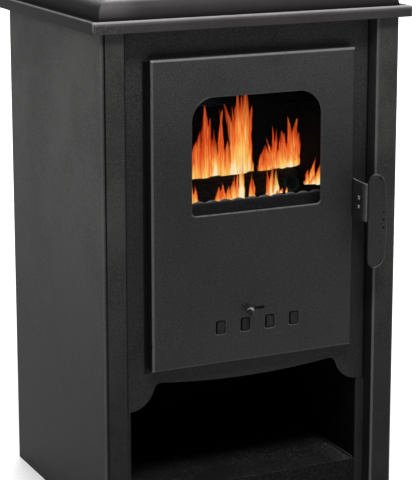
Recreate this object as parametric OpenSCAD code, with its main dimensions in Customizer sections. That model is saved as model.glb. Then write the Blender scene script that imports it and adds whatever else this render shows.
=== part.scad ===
// Sheet-steel wood stove: folded casing, firebox, hob top, glazed door, log store.
// Millimetres. X runs across the front, Y runs from the front to the rear, Z is up.
// The origin is on the floor, under the middle of the stove.

/* [Casing] */
// Width over the two side panels
casing_w = 420; // [410:1:430]
// How far the post faces stand in front of the origin
casing_front = 163; // [160:0.5:166]
// How far the rear returns stand behind the origin
casing_rear = 160.5; // [158:0.5:160.5]
// Height of the side panels, which end inside the rim
casing_h = 652; // [646:1:652]
// Thickness of the casing sheet
sheet = 1.5; // [1:0.1:1.6]
// Width of each post face
post_w = 31.6; // [28:0.1:34]
// Step from a post face back to the fascia
post_step = 19.7; // [19.5:0.1:20.5]
// Reach of the flange behind the fascia
post_flange = 12.4; // [10:0.1:14]

/* [Firebox and log store] */
// Inside width
inner_w = 328; // [326:1:330]
// Inside face of the rear wall
inner_rear = 92; // [90:1:94]
// Thickness of the welded plates
plate = 3; // [2.5:0.5:3]
// Top of the log store's floor
store_floor = 38; // [30:1:45]
// Underside of the firebox floor
store_ceiling = 226; // [222:1:226]
// Underside of the plate that carries the grate
fire_plate_z = 306; // [300:1:310]
// Thickness of the firebricks
brick = 25; // [20:1:30]
// Top of the firebricks
brick_top = 512; // [500:1:514]
// Length of the baffle from the rear wall
baffle_d = 104; // [90:1:120]
// Top of the log guard between its bumps
guard_z = 411; // [405:0.1:414]

/* [Fascia] */
// Lowest edge of the apron, beside the posts
apron_z = 152.3; // [148:0.1:156]
// Radius of the apron's lobes
lobe_r = 36; // [34:0.5:38]
// Distance of a lobe's centre from the middle
lobe_x = 168; // [166:0.5:170]
// Radius of the hollow between lobe and bow
hollow_r = 9; // [8:0.5:9.5]
// How far the bow hangs at the middle
bow_sag = 7; // [5:0.5:9]

/* [Top] */
// Width of the rim
rim_w = 448.6; // [444:0.2:452]
// Depth of the rim
rim_d = 337; // [336:0.5:337]
// Underside of the rim flange
rim_z = 643; // [641:0.5:645]
// Height of the rim flange
rim_h = 14.6; // [14:0.1:15]
// Top of the hood
hood_z = 681; // [680:0.5:683]
// Thickness of the pressed top
top_sheet = 2; // [1.5:0.1:2]
// Distance from the rim to the edge of the hob plate
hood_w = 60; // [59:0.5:61]
// Radius of the opening for the ring
ring_r = 92; // [88:1:94]
// Radius of the opening for the lid
lid_r = 58; // [50:1:62]

/* [Door] */
// Width of the door
door_w = 289.4; // [288:0.2:290]
// Height of the door
door_h = 399.3; // [398:0.1:400]
// Middle of the door, right of the stove's middle
door_cx = 3.6; // [3:0.1:4]
// Lower edge of the door
door_z = 206; // [205:0.5:207]
// Distance from the post faces back to the door's face
door_set = 5; // [4.5:0.5:5.5]
// Depth of the door's rolled edge
door_deep = 11.5; // [11:0.1:11.6]
// Radius of the door's rolled edge
door_roll = 3; // [2.5:0.1:3.5]

/* [Window] */
// Width of the window
window_w = 186.8; // [180:0.2:190]
// Height of the window
window_h = 152.7; // [150:0.1:156]
// Middle of the window
window_cx = 6.4; // [5:0.1:8]
// Lower edge of the window
window_z = 402.7; // [398:0.1:404]
// Radius of its upper corners
window_r = 32; // [20:1:40]

/* [Air control] */
// Width of an air hole
air_w = 14.8; // [13:0.2:15.5]
// Height of an air hole
air_h = 18.8; // [16:0.2:20]
// Middle height of the air holes
air_z = 254.2; // [252:0.1:256]
// Middle of the row of air holes
air_cx = 7.6; // [6:0.1:9]
// Distance between air holes
air_pitch = 35.5; // [34:0.1:36]
// Travel of the air slide
air_travel = 16; // [15:0.5:16.5]

/* [Handle] */
// Height of the handle's pivot
pivot_z = 409; // [408:0.5:410]
// Lift of the handle in degrees
handle_lift = 25; // [20:1:26]
// Length of the grip
grip_l = 125.5; // [110:0.5:130]
// Width of the grip
grip_w = 28.2; // [24:0.2:30]

/* [Flue] */
// Inside radius of the flue collar
flue_r = 60.5; // [60:0.1:61]
// Height of the flue's axis
flue_z = 576; // [574:0.5:580]
// Rear end of the flue collar
flue_end = 194; // [180:1:200]

/* [Hidden] */
$fn = 48;

// Length by which a cut runs past a face
past = 1;

side_x = casing_w / 2;
post_x = side_x - post_w;
fascia_y = post_step - casing_front;
fascia_rear = fascia_y + sheet;
fascia_x = post_x - 1.05;
inner_x = inner_w / 2;
wall_x = inner_x + plate;
rear_wall = inner_rear + plate;
fire_z = fire_plate_z + 4;
hob_seat = hood_z - 7;
hob_top = hob_seat + 9;
rim_cy = casing_rear + 2.5 - rim_d / 2;
opening_x0 = -116;
opening_x1 = 123;
opening_z0 = 228;
opening_z1 = 580;
door_face = -casing_front + door_set;
door_skin = 1.5;
door_inside = door_face + door_skin;
door_left = door_cx - door_w / 2;
door_right = door_cx + door_w / 2;
door_cz = door_z + door_h / 2;
hinge_x = door_left + 5.5;
hinge_y = -151;
hinge_heights = [door_z + 32, door_z + door_h - 32];
hinge_pin_r = 2;
hinge_eye_r = 3.6;
liner_rear = fascia_y - 6;
glass_x0 = window_cx - window_w / 2 - 10;
glass_x1 = window_cx + window_w / 2 + 10;
glass_z0 = window_z - 10;
glass_z1 = window_z + window_h + 10;
slide_rear = door_inside + 0.1 + sheet;
lever_x = door_right + 2.3;
lever_t = 2.5;
pivot_y = -172;
stop_r = 12;
grip_y = -191.6;

// --- outlines ---

function unit(v) = v / norm(v);
function left_of(v) = [-v[1], v[0]];
function flat(p) = [p[0], p[1]];
function polar(c, r, a) = [c[0] + r * cos(a), c[1] + r * sin(a)];
function back_to_front(list) = [for (i = [len(list) - 1:-1:0]) list[i]];

// Points along an arc about c, from angle a0 to a1
function arc(c, r, a0, a1, steps = 6) = [for (i = [0:steps]) polar(c, r, a0 + (a1 - a0) * i / steps)];

// A bent line is a list of [x, y, bend radius]. Moved sideways by k, its bends stay concentric.
function way(p, i) = unit(flat(p[i + 1]) - flat(p[i]));
function moved(p, k) = [for (i = [0:len(p) - 1])
    let (last = len(p) - 1,
         a = left_of(way(p, max(i - 1, 0))),
         b = left_of(way(p, min(i, last - 1))),
         at = flat(p[i]) + k * (a + b) / (1 + a * b))
    [at[0], at[1], p[i][2] == 0 ? 0 : p[i][2] - k * sign(cross(a, b))]];

// The bent line with each corner replaced by its bend
function bend(a, b, c, r, steps) =
    let (u = unit(a - b), w = unit(c - b), half = acos(u * w) / 2,
         centre = b + unit(u + w) * r / sin(half),
         from = b + u * r / tan(half) - centre,
         turn = (180 - 2 * half) * sign(cross(b - a, c - b)))
    [for (i = [0:steps]) let (t = turn * i / steps)
        centre + [from[0] * cos(t) - from[1] * sin(t), from[0] * sin(t) + from[1] * cos(t)]];
function rounded(p, steps = 4) = [for (i = [0:len(p) - 1])
    each p[i][2] <= 0 ? [flat(p[i])] : bend(flat(p[i - 1]), flat(p[i]), flat(p[i + 1]), p[i][2], steps)];

// Section of a folded sheet: the bent line on its outer face, thickened to the side given by k
function folded(p, k, steps = 4) = concat(rounded(p, steps), back_to_front(rounded(moved(p, k), steps)));

// Rectangle with round corners, low radius r0 and high radius r1
function round_rect(x0, x1, y0, y1, r0, r1) = concat(
    arc([x0 + r0, y0 + r0], r0, 180, 270), arc([x1 - r0, y0 + r0], r0, 270, 360),
    arc([x1 - r1, y1 - r1], r1, 0, 90), arc([x0 + r1, y1 - r1], r1, 90, 180));

// Slot of half width h that follows an arc of radius r about c
function arc_slot(c, r, a0, a1, h) = concat(
    arc(c, r + h, a0, a1), arc(polar(c, r, a1), h, a1, a1 + 180),
    arc(c, r - h, a1, a0), arc(polar(c, r, a0), h, a0 + 180, a0 + 360));

// --- placing ---

// Outline in X and Z, filling the depth from y0 to y1
module upright(y0, y1) translate([0, y1, 0]) rotate([90, 0, 0]) linear_extrude(y1 - y0) children();

// Outline in Y and Z, filling the width from x0 to x1
module across(x0, x1) translate([x0, 0, 0]) rotate([90, 0, 90]) linear_extrude(x1 - x0) children();

// Block between two corners
module block(low, high) translate(low) cube(high - low);

// Cylinder along Y and cylinder along X
module rod_y(x, y0, y1, z, r) translate([x, y1, z]) rotate([90, 0, 0]) cylinder(y1 - y0, r, r);
module rod_x(x0, x1, y, z, r) translate([x0, y, z]) rotate([0, 90, 0]) cylinder(x1 - x0, r, r);

// One mitred side of a frame: the section is [distance inwards, height]
module mitred_side(length, reach, section, deep, h0, h1) intersection() {
    across(-length / 2 - past, length / 2 + past) polygon([for (p = section) [p[0] - reach / 2, p[1]]]);
    translate([0, 0, h0]) linear_extrude(h1 - h0) polygon([
        [-length / 2 - past, -reach / 2 - past], [length / 2 + past, -reach / 2 - past],
        [length / 2 - deep, -reach / 2 + deep], [-length / 2 + deep, -reach / 2 + deep]]);
}

// Frame of one section carried round a rectangle w by l, with mitred corners
module mitred_frame(w, l, section, deep, h0, h1) {
    for (turn = [0, 180]) {
        rotate([0, 0, turn]) mitred_side(w, l, section, deep, h0, h1);
        rotate([0, 0, turn + 90]) mitred_side(l, w, section, deep, h0, h1);
    }
}

// --- casing ---

// Side sheet: rear return, side, post face, step back and flange behind the fascia
module side_sheet() {
    line = [[-side_x + 22, casing_rear, 0], [-side_x, casing_rear, 2.2], [-side_x, -casing_front, 2.2],
            [-post_x, -casing_front, 2], [-post_x, fascia_rear, 1], [-post_x + post_flange, fascia_rear, 0]];
    difference() {
        union() {
            linear_extrude(casing_h) polygon(folded(line, sheet));
            block([-side_x + sheet, -casing_front + 8, 0], [-side_x + 25, casing_rear - 8, sheet]);
        }
        for (z = screw_heights) rod_y(-screw_x, casing_rear - sheet - past, casing_rear + past, z, screw_r + 0.1);
    }
}
module left_side_panel() color([0.28, 0.28, 0.28]) side_sheet();
module right_side_panel() color([0.22, 0.22, 0.22]) mirror([1, 0, 0]) side_sheet();

screw_x = side_x - 11;
screw_r = 1.8;
screw_heights = [60, 330, 600];

// Lower edge of the fascia, left half: flat, lobe, hollow
function apron_half() = concat(
    [[-fascia_x, apron_z]],
    arc([-lobe_x, apron_z + lobe_r], lobe_r, -90, -15, 8),
    arc([-lobe_x + lobe_r + hollow_r - 1, apron_z + lobe_r - 11], hollow_r, 172, 94, 5));
// The bow is an arc of a wide circle through the two hollows
bow_x = lobe_x - lobe_r - hollow_r - 1;
bow_z = apron_z + lobe_r - 11 + hollow_r;
bow_r = (bow_x * bow_x + bow_sag * bow_sag) / (2 * bow_sag);
bow_angle = asin(bow_x / bow_r);
function bow() = arc([0, bow_z - bow_sag + bow_r], bow_r, 270 - bow_angle, 270 + bow_angle, 14);

module front_panel() color([0.17, 0.17, 0.17]) difference() {
    upright(fascia_y, fascia_rear) polygon(concat(
        apron_half(), bow(), back_to_front([for (p = apron_half()) [-p[0], p[1]]]),
        [[fascia_x, hood_z - top_sheet], [-fascia_x, hood_z - top_sheet]]));
    upright(fascia_y - past, fascia_rear + past)
        polygon(round_rect(opening_x0, opening_x1, opening_z0, opening_z1, 6, 6));
    for (z = hinge_heights)
        block([hinge_x - 2.3, fascia_y - past, z - 2.6], [hinge_x + 2.3, fascia_rear + past, z + 2.6]);
    block([keeper_x - 0.1, fascia_y - past, stud_z - 8.1], [keeper_x + 3.1, fascia_rear + past, stud_z + 6.1]);
}

// Heat shield with two rows of vents and a hole round the flue collar
module rear_panel() color([0.3, 0.3, 0.3]) difference() {
    block([-side_x + 4.5, casing_rear - 2 * sheet - 0.1, store_floor + 2],
          [side_x - 4.5, casing_rear - sheet - 0.1, casing_h - 1]);
    rod_y(0, casing_rear - 10, casing_rear, flue_z, flue_r + 4.5);
    for (z = [80, 420], x = [-160:32:160]) vent(x, z, 60);
    for (x = [-screw_x, screw_x], z = screw_heights) rod_y(x, casing_rear - 10, casing_rear, z, screw_r + 0.1);
}

// Upright slot with round ends
vent_r = 3;
module vent(x, z, h) {
    block([x - vent_r, casing_rear - 10, z], [x + vent_r, casing_rear, z + h]);
    for (end = [z, z + h]) rod_y(x, casing_rear - 10, casing_rear, end, vent_r);
}

// Floor of the log store: a channel that stands on its front and rear flanges
module base_plate() color([0.2, 0.2, 0.2]) across(-side_x + sheet + 0.75, side_x - sheet - 0.75)
    polygon(folded([[fascia_rear + sheet + 0.1, sheet + 0.1, 0], [fascia_rear + sheet + 0.1, store_floor, 2.2],
        [casing_rear - sheet - 0.1, store_floor, 2.2], [casing_rear - sheet - 0.1, sheet + 0.1, 0]], -sheet));

module casing_screws() color([0.6, 0.6, 0.6])
    for (x = [-screw_x, screw_x], z = screw_heights) {
        rod_y(x, casing_rear - 2 * sheet - 2, casing_rear, z, screw_r);
        rod_y(x, casing_rear, casing_rear + 2, z, 4);
    }

// --- firebox ---

module inner_left_wall() color([0.15, 0.15, 0.15])
    block([-wall_x, fascia_rear + sheet + 0.1, store_floor], [-inner_x, inner_rear, hob_seat - top_sheet]);
module inner_right_wall() color([0.15, 0.15, 0.15]) mirror([1, 0, 0]) inner_left_wall();
module inner_rear_wall() color([0.15, 0.15, 0.15]) difference() {
    block([-wall_x, inner_rear, store_floor], [wall_x, rear_wall, hob_seat - top_sheet]);
    rod_y(0, inner_rear - past, rear_wall + past, flue_z, flue_r - 2.5);
    for (a = flue_screw_angles) rod_y(flue_bolt_r * cos(a), inner_rear - past, rear_wall + past,
                                      flue_z + flue_bolt_r * sin(a), screw_r + 0.1);
}
module firebox_floor() color([0.15, 0.15, 0.15])
    block([-inner_x, fascia_rear, store_ceiling], [inner_x, inner_rear, store_ceiling + plate]);

// Plate that carries the bricks and the grate, open below the grate
module fire_plate() color([0.16, 0.16, 0.16]) difference() {
    block([-inner_x, fascia_rear, fire_plate_z], [inner_x, inner_rear, fire_z]);
    block([-100, -100, fire_plate_z - past], [100, 50, fire_z + past]);
}
module baffle_plate() color([0.14, 0.14, 0.14])
    block([-inner_x + 1, inner_rear - baffle_d, brick_top], [inner_x - 1, inner_rear, brick_top + 4]);

brick_front = -119;
module left_firebrick() color([0.62, 0.52, 0.38])
    block([-inner_x, brick_front, fire_z], [-inner_x + brick, inner_rear - brick, brick_top]);
module right_firebrick() color([0.62, 0.52, 0.38]) mirror([1, 0, 0]) left_firebrick();
module rear_firebrick() color([0.62, 0.52, 0.38])
    block([-inner_x, inner_rear - brick, fire_z], [inner_x, inner_rear, brick_top]);

// Cast grate: a frame with bars from front to rear
module grate() color([0.12, 0.12, 0.12]) difference() {
    block([-112, -110, fire_z], [112, 60, fire_z + 12]);
    for (x = [-90:20:90]) upright_slot(x);
}
module upright_slot(x) translate([0, 0, fire_z - past]) linear_extrude(12 + 2 * past)
    polygon(round_rect(x - 5, x + 5, -98, 48, 4.9, 4.9));

// Log guard: its top edge is a row of round bumps
guard_pitch = 19;
guard_bump = 2.6;
module log_guard() color([0.14, 0.14, 0.14]) upright(brick_front - 2.5, brick_front) polygon(concat(
    [[inner_x, guard_z - 58], [inner_x, guard_z]],
    [for (x = [159.5:-guard_pitch / 6:-159.5])
        [x, guard_z + guard_bump * abs(sin(180 * (x - 159.5) / guard_pitch))]],
    [[-inner_x, guard_z], [-inner_x, guard_z - 58]]));

pan_z = store_ceiling + plate;
pan_h = 45;
module ash_pan() color([0.35, 0.35, 0.35]) difference() {
    union() {
        block([-96.5, -125, pan_z], [103.5, 60, pan_z + pan_h]);
        block([-101.5, -125, pan_z + pan_h - sheet], [108.5, 65, pan_z + pan_h]);
    }
    block([-96.5 + sheet, -125 + sheet, pan_z + sheet], [103.5 - sheet, 60 - sheet, pan_z + pan_h + past]);
}
module ash_pan_handle() color([0.45, 0.45, 0.45]) translate([0, 0, pan_z + 21]) linear_extrude(9)
    polygon(folded([[-18, -125, 0], [-18, -139, 4], [25, -139, 4], [25, -125, 0]], 2));

// Split logs: each is an uneven round section, carried across the fire. Two lie on the grate, and
// the third, which grows thicker to the right, in the hollow between them
function log_section(r, phase) = [for (a = [0:20:340])
    polar([0, 0], r * (1 + 0.05 * sin(3 * a + phase) + 0.03 * sin(5 * a)), a)];
module split_log(at, r, length, turn, phase, rise = 0, grow = 1) translate(at)
    rotate([90, 0, 90 + turn]) rotate([-rise, 0, 0]) translate([0, 0, -length / 2])
        linear_extrude(length, scale = grow) polygon(log_section(r, phase));
module logs() color([0.2, 0.13, 0.08]) {
    split_log([2, -66, fire_z + 12 + 33.8], 32.5, 236, 2, 40);
    split_log([-4, 14, fire_z + 12 + 33.8], 32.5, 232, 1, 160);
    split_log([3, -26, fire_z + 12 + 76.4], 22.4, 252, 2, 90, 0.9, 1.18);
}

// --- top ---

// Section of the pressed top, from the rim flange over bead, groove and riser to the hob seat
top_line = [[0, rim_z, 0], [0, rim_z + rim_h, 3], [6, rim_z + rim_h, 2.6], [7.2, rim_z + rim_h - 2.8, 1.2],
    [12.2, rim_z + rim_h - 2.4, 3], [16.2, hood_z, 11], [hood_w, hood_z, 3], [hood_w, hob_seat, 1],
    [hood_w + 12, hob_seat, 0]];
module top_frame() color([0.26, 0.25, 0.25]) translate([0, rim_cy, 0])
    mitred_frame(rim_w, rim_d, folded(top_line, -top_sheet, 6), hood_w + 12 + past, rim_z - past, hood_z + past);

hob_x = rim_w / 2 - hood_w - 1.5;
hob_y = rim_d / 2 - hood_w - 1.5;
rabbet = hob_seat + 4.5;
module disc(r0, r1) {
    cylinder(rabbet - hob_seat, r0, r0);
    translate([0, 0, rabbet - hob_seat]) cylinder(hob_top - rabbet, r1, r1);
}
// Stepped round hole that holds a disc of radius r
module stepped_hole(r) translate([0, rim_cy, 0]) {
    translate([0, 0, hob_seat - past]) cylinder(20, r - 8, r - 8, $fn = 96);
    translate([0, 0, rabbet]) cylinder(20, r, r, $fn = 96);
}
module hob_plate() color([0.13, 0.13, 0.13]) difference() {
    translate([0, rim_cy, hob_seat]) linear_extrude(hob_top - hob_seat)
        polygon(round_rect(-hob_x, hob_x, -hob_y, hob_y, 5, 5));
    stepped_hole(ring_r);
}
module hob_ring() color([0.12, 0.12, 0.12]) difference() {
    translate([0, rim_cy, hob_seat]) disc(ring_r - 8 - 0.8, ring_r - 0.8, $fn = 96);
    stepped_hole(lid_r);
}
// Lid with a slot for the lifting hook
module hob_lid() color([0.12, 0.12, 0.12]) difference() {
    translate([0, rim_cy, hob_seat]) disc(lid_r - 8 - 0.8, lid_r - 0.8, $fn = 96);
    translate([0, rim_cy - lid_r + 22, hob_seat + 3]) linear_extrude(10)
        polygon(round_rect(-11, 11, -4, 4, 3.9, 3.9));
}

// --- flue ---

flue_bolt_r = flue_r + 10.5;
flue_screw_angles = [45, 135, 225, 315];
module flue_collar() color([0.2, 0.2, 0.2]) difference() {
    union() {
        rod_y(0, rear_wall, rear_wall + plate, flue_z, flue_r + 18);
        rod_y(0, rear_wall, flue_end, flue_z, flue_r + 2);
    }
    rod_y(0, rear_wall - past, flue_end + past, flue_z, flue_r);
    for (a = flue_screw_angles) rod_y(flue_bolt_r * cos(a), rear_wall - past, rear_wall + plate + past,
                                      flue_z + flue_bolt_r * sin(a), screw_r + 0.1);
}
module flue_screws() color([0.6, 0.6, 0.6]) for (a = flue_screw_angles) {
    rod_y(flue_bolt_r * cos(a), inner_rear - 2, rear_wall + plate, flue_z + flue_bolt_r * sin(a), screw_r);
    rod_y(flue_bolt_r * cos(a), rear_wall + plate, rear_wall + plate + 2.5, flue_z + flue_bolt_r * sin(a), 3.8);
}

// --- hinges and keeper on the fascia ---

module hinge_brackets() color([0.25, 0.25, 0.25]) for (z = hinge_heights) difference() {
    union() {
        translate([hinge_x, hinge_y, z - 2.5]) cylinder(5, hinge_eye_r, hinge_eye_r);
        block([hinge_x - 2.2, hinge_y, z - 2.5], [hinge_x + 2.2, fascia_rear + 2, z + 2.5]);
        block([hinge_x - 7, fascia_rear, z - 8.5], [hinge_x + 13, fascia_rear + 2, z + 8.5]);
    }
    translate([hinge_x, hinge_y, z - 10]) cylinder(20, hinge_pin_r + 0.05, hinge_pin_r + 0.05);
}

stud_y = -150.2;
stud_z = pivot_z + 5;
stud_r = 2.5;
keeper_x = lever_x + lever_t + 2;
module latch_keeper() color([0.4, 0.4, 0.4]) {
    block([keeper_x, stud_y - 4, stud_z - 8], [keeper_x + 3, fascia_rear + 2, stud_z + 6]);
    block([keeper_x - 5, fascia_rear, stud_z - 12], [keeper_x + 8, fascia_rear + 2, stud_z + 10]);
    rod_x(lever_x, keeper_x, stud_y, stud_z, stud_r);
}

// --- door ---

// Door skin: rolled edge, window, air holes, pin slot and the clearances for the hinge brackets
module door_panel() color([0.2, 0.2, 0.2]) difference() {
    union() {
        translate([door_cx, 0, door_cz]) rotate([90, 0, 0]) mitred_frame(door_w, door_h,
            folded([[0, -door_face - door_deep, 0], [0, -door_face, door_roll], [20, -door_face, 0]], -door_skin, 5),
            20 + past, -door_face - door_deep - past, -door_face + past);
        block([door_left + 18, door_face, door_z + 18], [door_right - 18, door_inside, door_z + door_h - 18]);
    }
    upright(door_face - past, door_inside + past) polygon(round_rect(window_cx - window_w / 2,
        window_cx + window_w / 2, window_z, window_z + window_h, 6, window_r));
    for (i = [-1.5:1.5]) upright(door_face - past, door_inside + past) polygon(round_rect(
        air_cx + i * air_pitch - air_w / 2, air_cx + i * air_pitch + air_w / 2,
        air_z - air_h / 2, air_z + air_h / 2, 3, 3));
    upright(door_face - past, door_inside + past)
        polygon(round_rect(pin_x - 3.5, pin_x + air_travel + 3.5, pin_z - 2.2, pin_z + 2.2, 2.1, 2.1));
    for (z = hinge_heights)
        block([door_left - past, hinge_y - 5, z - 3.2], [hinge_x - 2.5, hinge_y + 10, z + 3.2]);
}
pin_x = -1.5;
pin_z = 274;

// Folded tray welded to the inside of the skin
module door_liner() color([0.18, 0.18, 0.18]) difference() {
    block([door_left + 12, door_inside, door_z + 9], [door_right - 12, liner_rear, door_z + door_h - 12]);
    block([door_left + 12 + sheet, door_inside - past, door_z + 9 + sheet],
          [door_right - 12 - sheet, liner_rear - sheet, door_z + door_h - 12 - sheet]);
    upright(door_inside, liner_rear + past)
        polygon(round_rect(glass_x0 - 11, glass_x1 + 11, glass_z0 - 12, glass_z1 + 12, 8, 8));
    upright(door_inside, liner_rear + past)
        polygon(round_rect(air_cx - 92, air_cx + 92, air_z - 26, air_z + 34, 8, 8));
}
module window_glass() color([0.6, 0.6, 0.6, 0.35]) upright(door_inside, door_inside + 4)
    polygon(round_rect(glass_x0, glass_x1, glass_z0, glass_z1, 3, 3));

// Glass clips: a foot on the skin, a step up the edge of the glass, a tab over it
clip_places = [[window_cx - 62, 1], [window_cx + 62, 1], [window_cx - 62, -1], [window_cx + 62, -1]];
module at_clip(place) {
    edge = place[1] > 0 ? glass_z1 : glass_z0;
    translate([place[0], door_inside, edge]) mirror([0, 0, place[1] > 0 ? 0 : 1]) children();
}
module glass_clips() color([0.5, 0.5, 0.5]) for (place = clip_places) at_clip(place) difference() {
    across(-6, 6) polygon(folded([[1.2, 11, 0], [1.2, 1.6, 1.3], [5.3, 1.6, 2], [5.3, -7, 0]], -1.2));
    rod_y(0, -past, 1.2 + past, 7, 1.6);
}
module glass_screws() color([0.6, 0.6, 0.6]) for (place = clip_places) at_clip(place) {
    rod_y(0, 0, 1.2, 7, 1.5);
    rod_y(0, 1.2, 3.4, 7, 3.2);
}

// Rope seal: four straight runs and four bends of one round section
seal_r = 2.85;
seal_bend = 10;
seal_x0 = opening_x0 - 7;
seal_x1 = opening_x1 + 7;
seal_z0 = opening_z0 - 7;
seal_z1 = opening_z1 + 7;
module door_gasket() color([0.35, 0.34, 0.32]) translate([0, liner_rear + seal_r, 0]) {
    for (z = [seal_z0, seal_z1]) rod_x(seal_x0 + seal_bend, seal_x1 - seal_bend, 0, z, seal_r, $fn = 24);
    for (x = [seal_x0, seal_x1]) translate([x, 0, seal_z0 + seal_bend])
        cylinder(seal_z1 - seal_z0 - 2 * seal_bend, seal_r, seal_r, $fn = 24);
    seal_corner(seal_x1 - seal_bend, seal_z1 - seal_bend, 0);
    seal_corner(seal_x0 + seal_bend, seal_z1 - seal_bend, 90);
    seal_corner(seal_x0 + seal_bend, seal_z0 + seal_bend, 180);
    seal_corner(seal_x1 - seal_bend, seal_z0 + seal_bend, 270);
}
module seal_corner(x, z, turn) translate([x, 0, z]) rotate([90, 0, 0]) rotate([0, 0, turn])
    rotate_extrude(angle = 90, $fn = 48) translate([seal_bend, 0]) circle(seal_r, $fn = 24);

module hinge_ears() color([0.22, 0.22, 0.22]) for (z = hinge_heights, s = [-1, 1]) difference() {
    union() {
        translate([hinge_x, hinge_y, z + s * 4.3 - 1.6]) cylinder(3.2, hinge_eye_r, hinge_eye_r);
        block([hinge_x - 2.4, door_inside, z + s * 4.3 - 1.6], [hinge_x + 3.2, hinge_y, z + s * 4.3 + 1.6]);
    }
    translate([hinge_x, hinge_y, z + s * 4.3 - 5]) cylinder(10, hinge_pin_r + 0.02, hinge_pin_r + 0.02);
}
module hinge_pins() color([0.6, 0.6, 0.6]) for (z = hinge_heights) translate([hinge_x, hinge_y, z]) {
    translate([0, 0, -7]) cylinder(12.9, hinge_pin_r, hinge_pin_r);
    translate([0, 0, 5.9]) cylinder(1.6, 3, 3);
}

// Guides that hold the air slide against the skin
module slide_guides() color([0.3, 0.3, 0.3]) for (s = [-1, 1])
    across(air_cx - 88, air_cx + 88) polygon(folded([
        [door_inside + 1.2, slide_mid + s * (slide_h / 2 + 7), 0],
        [door_inside + 1.2, slide_mid + s * (slide_h / 2 + 1.5), 1.3],
        [door_inside + 3, slide_mid + s * (slide_h / 2 + 1.5), 1.3],
        [door_inside + 3, slide_mid + s * (slide_h / 2 - 4), 0]], s > 0 ? -1.2 : 1.2, 3));

// --- air slide ---

slide_mid = air_z + 6.3;
slide_h = 42;
module air_slide() color([0.45, 0.45, 0.45]) difference() {
    block([air_cx - 90, door_inside + 0.1, slide_mid - slide_h / 2], [air_cx + 73, slide_rear, slide_mid + slide_h / 2]);
    for (i = [-1.5:1.5]) upright(door_inside - past, slide_rear + past) polygon(round_rect(
        air_cx + i * air_pitch - air_travel - air_w / 2, air_cx + i * air_pitch - air_travel + air_w / 2,
        air_z - air_h / 2, air_z + air_h / 2, 3, 3));
    rod_y(pin_x, door_inside - past, slide_rear + past, pin_z, 1.92);
}
// Pin: a neck through the slot and a turned knob that leans to the left
module air_pin() color([0.3, 0.3, 0.3]) {
    rod_y(pin_x, door_face - 3, slide_rear, pin_z, 1.9);
    translate([pin_x, door_face - 1.5, pin_z]) rotate([93, 0, -30]) rotate_extrude($fn = 32)
        polygon(concat([[0, 0], [2.4, 0], [3.2, 3]], arc([2.6, 12.4], 1.2, 0, 90, 4), [[0, 13.6]]));
}

// --- handle ---

module handle_bracket() color([0.2, 0.2, 0.2]) difference() {
    across(door_right, door_right + 2)
        polygon(round_rect(-190, door_face + door_deep, pivot_z - 29, pivot_z + 24, 3, 3));
    rod_x(door_right - past, door_right + 3, pivot_y, pivot_z, 3.02);
    rod_x(door_right - past, door_right + 3, pivot_y, pivot_z - stop_r, 2.02);
}
module handle_pivot() color([0.5, 0.5, 0.5]) {
    rod_x(door_right - 1.3, door_right, pivot_y, pivot_z, 4.5);
    rod_x(door_right, lever_x + lever_t + 0.4, pivot_y, pivot_z, 3);
    rod_x(lever_x + lever_t + 0.4, lever_x + lever_t + 1.8, pivot_y, pivot_z, 5);
}
module handle_stop() color([0.5, 0.5, 0.5]) {
    rod_x(door_right - 1.2, door_right, pivot_y, pivot_z - stop_r, 3.5);
    rod_x(door_right, lever_x + lever_t + 0.4, pivot_y, pivot_z - stop_r, 2);
}

// Lever: web with pivot hole and stop slot, an arm that reaches under the keeper stud, and a
// flange that carries the grip
module handle_lever() color([0.2, 0.2, 0.2]) {
    difference() {
        across(lever_x, lever_x + lever_t) polygon(rounded([
            [grip_y, pivot_z - 24, 0], [-166, pivot_z - 24, 6], [-160, pivot_z - 11, 6],
            [-144.8, pivot_z - 11, 2], [-144.8, pivot_z + 2.1, 0.8], [-147.3, pivot_z + 2.1, 0.8],
            [-147.3, pivot_z - 2, 1.2], [-156, pivot_z - 2, 4], [-160, pivot_z + 20, 6], [grip_y, pivot_z + 20, 0]]));
        rod_x(lever_x - past, lever_x + lever_t + past, pivot_y, pivot_z, 3.06);
        across(lever_x - past, lever_x + lever_t + past)
            polygon(arc_slot([pivot_y, pivot_z], stop_r, -90.5, -89.5 + handle_lift, 2.15));
    }
    block([lever_x + lever_t, grip_y, pivot_z - 20], [lever_x + 15, grip_y + 2.4, pivot_z + 16]);
}

// Grip: a long plate, straight on the left and swelling on the right
grip_top = pivot_z + 34.5;
module handle_grip() color([0.2, 0.2, 0.2]) difference() {
    upright(grip_y - 2.4, grip_y) polygon(rounded([
        [lever_x, grip_top - grip_l / 2, 0],
        [lever_x, grip_top - grip_l, 7], [lever_x + grip_w - 3.5, grip_top - grip_l, 13],
        [lever_x + grip_w, grip_top - grip_l / 2, 160], [lever_x + grip_w - 3.5, grip_top, 13],
        [lever_x, grip_top, 7], [lever_x, grip_top - grip_l / 2, 0]], 6));
    for (z = [51.5, 61.5, 72.5]) rod_y(lever_x + grip_w - 5.5, grip_y - 5, grip_y + past, grip_top - z, 1.3);
}

left_side_panel();
right_side_panel();
front_panel();
rear_panel();
base_plate();
inner_left_wall();
inner_right_wall();
inner_rear_wall();
firebox_floor();
fire_plate();
baffle_plate();
left_firebrick();
right_firebrick();
rear_firebrick();
grate();
log_guard();
ash_pan();
ash_pan_handle();
logs();
top_frame();
hob_plate();
hob_ring();
hob_lid();
flue_collar();
flue_screws();
casing_screws();
hinge_brackets();
latch_keeper();
door_panel();
door_liner();
window_glass();
glass_clips();
glass_screws();
door_gasket();
hinge_ears();
hinge_pins();
slide_guides();
handle_bracket();
handle_pivot();
handle_stop();
handle_lever();
handle_grip();
air_slide();
air_pin();
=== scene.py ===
"""Looks of a sheet-steel wood stove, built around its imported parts. Metres, front at -Y, Z up."""

import math

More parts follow.
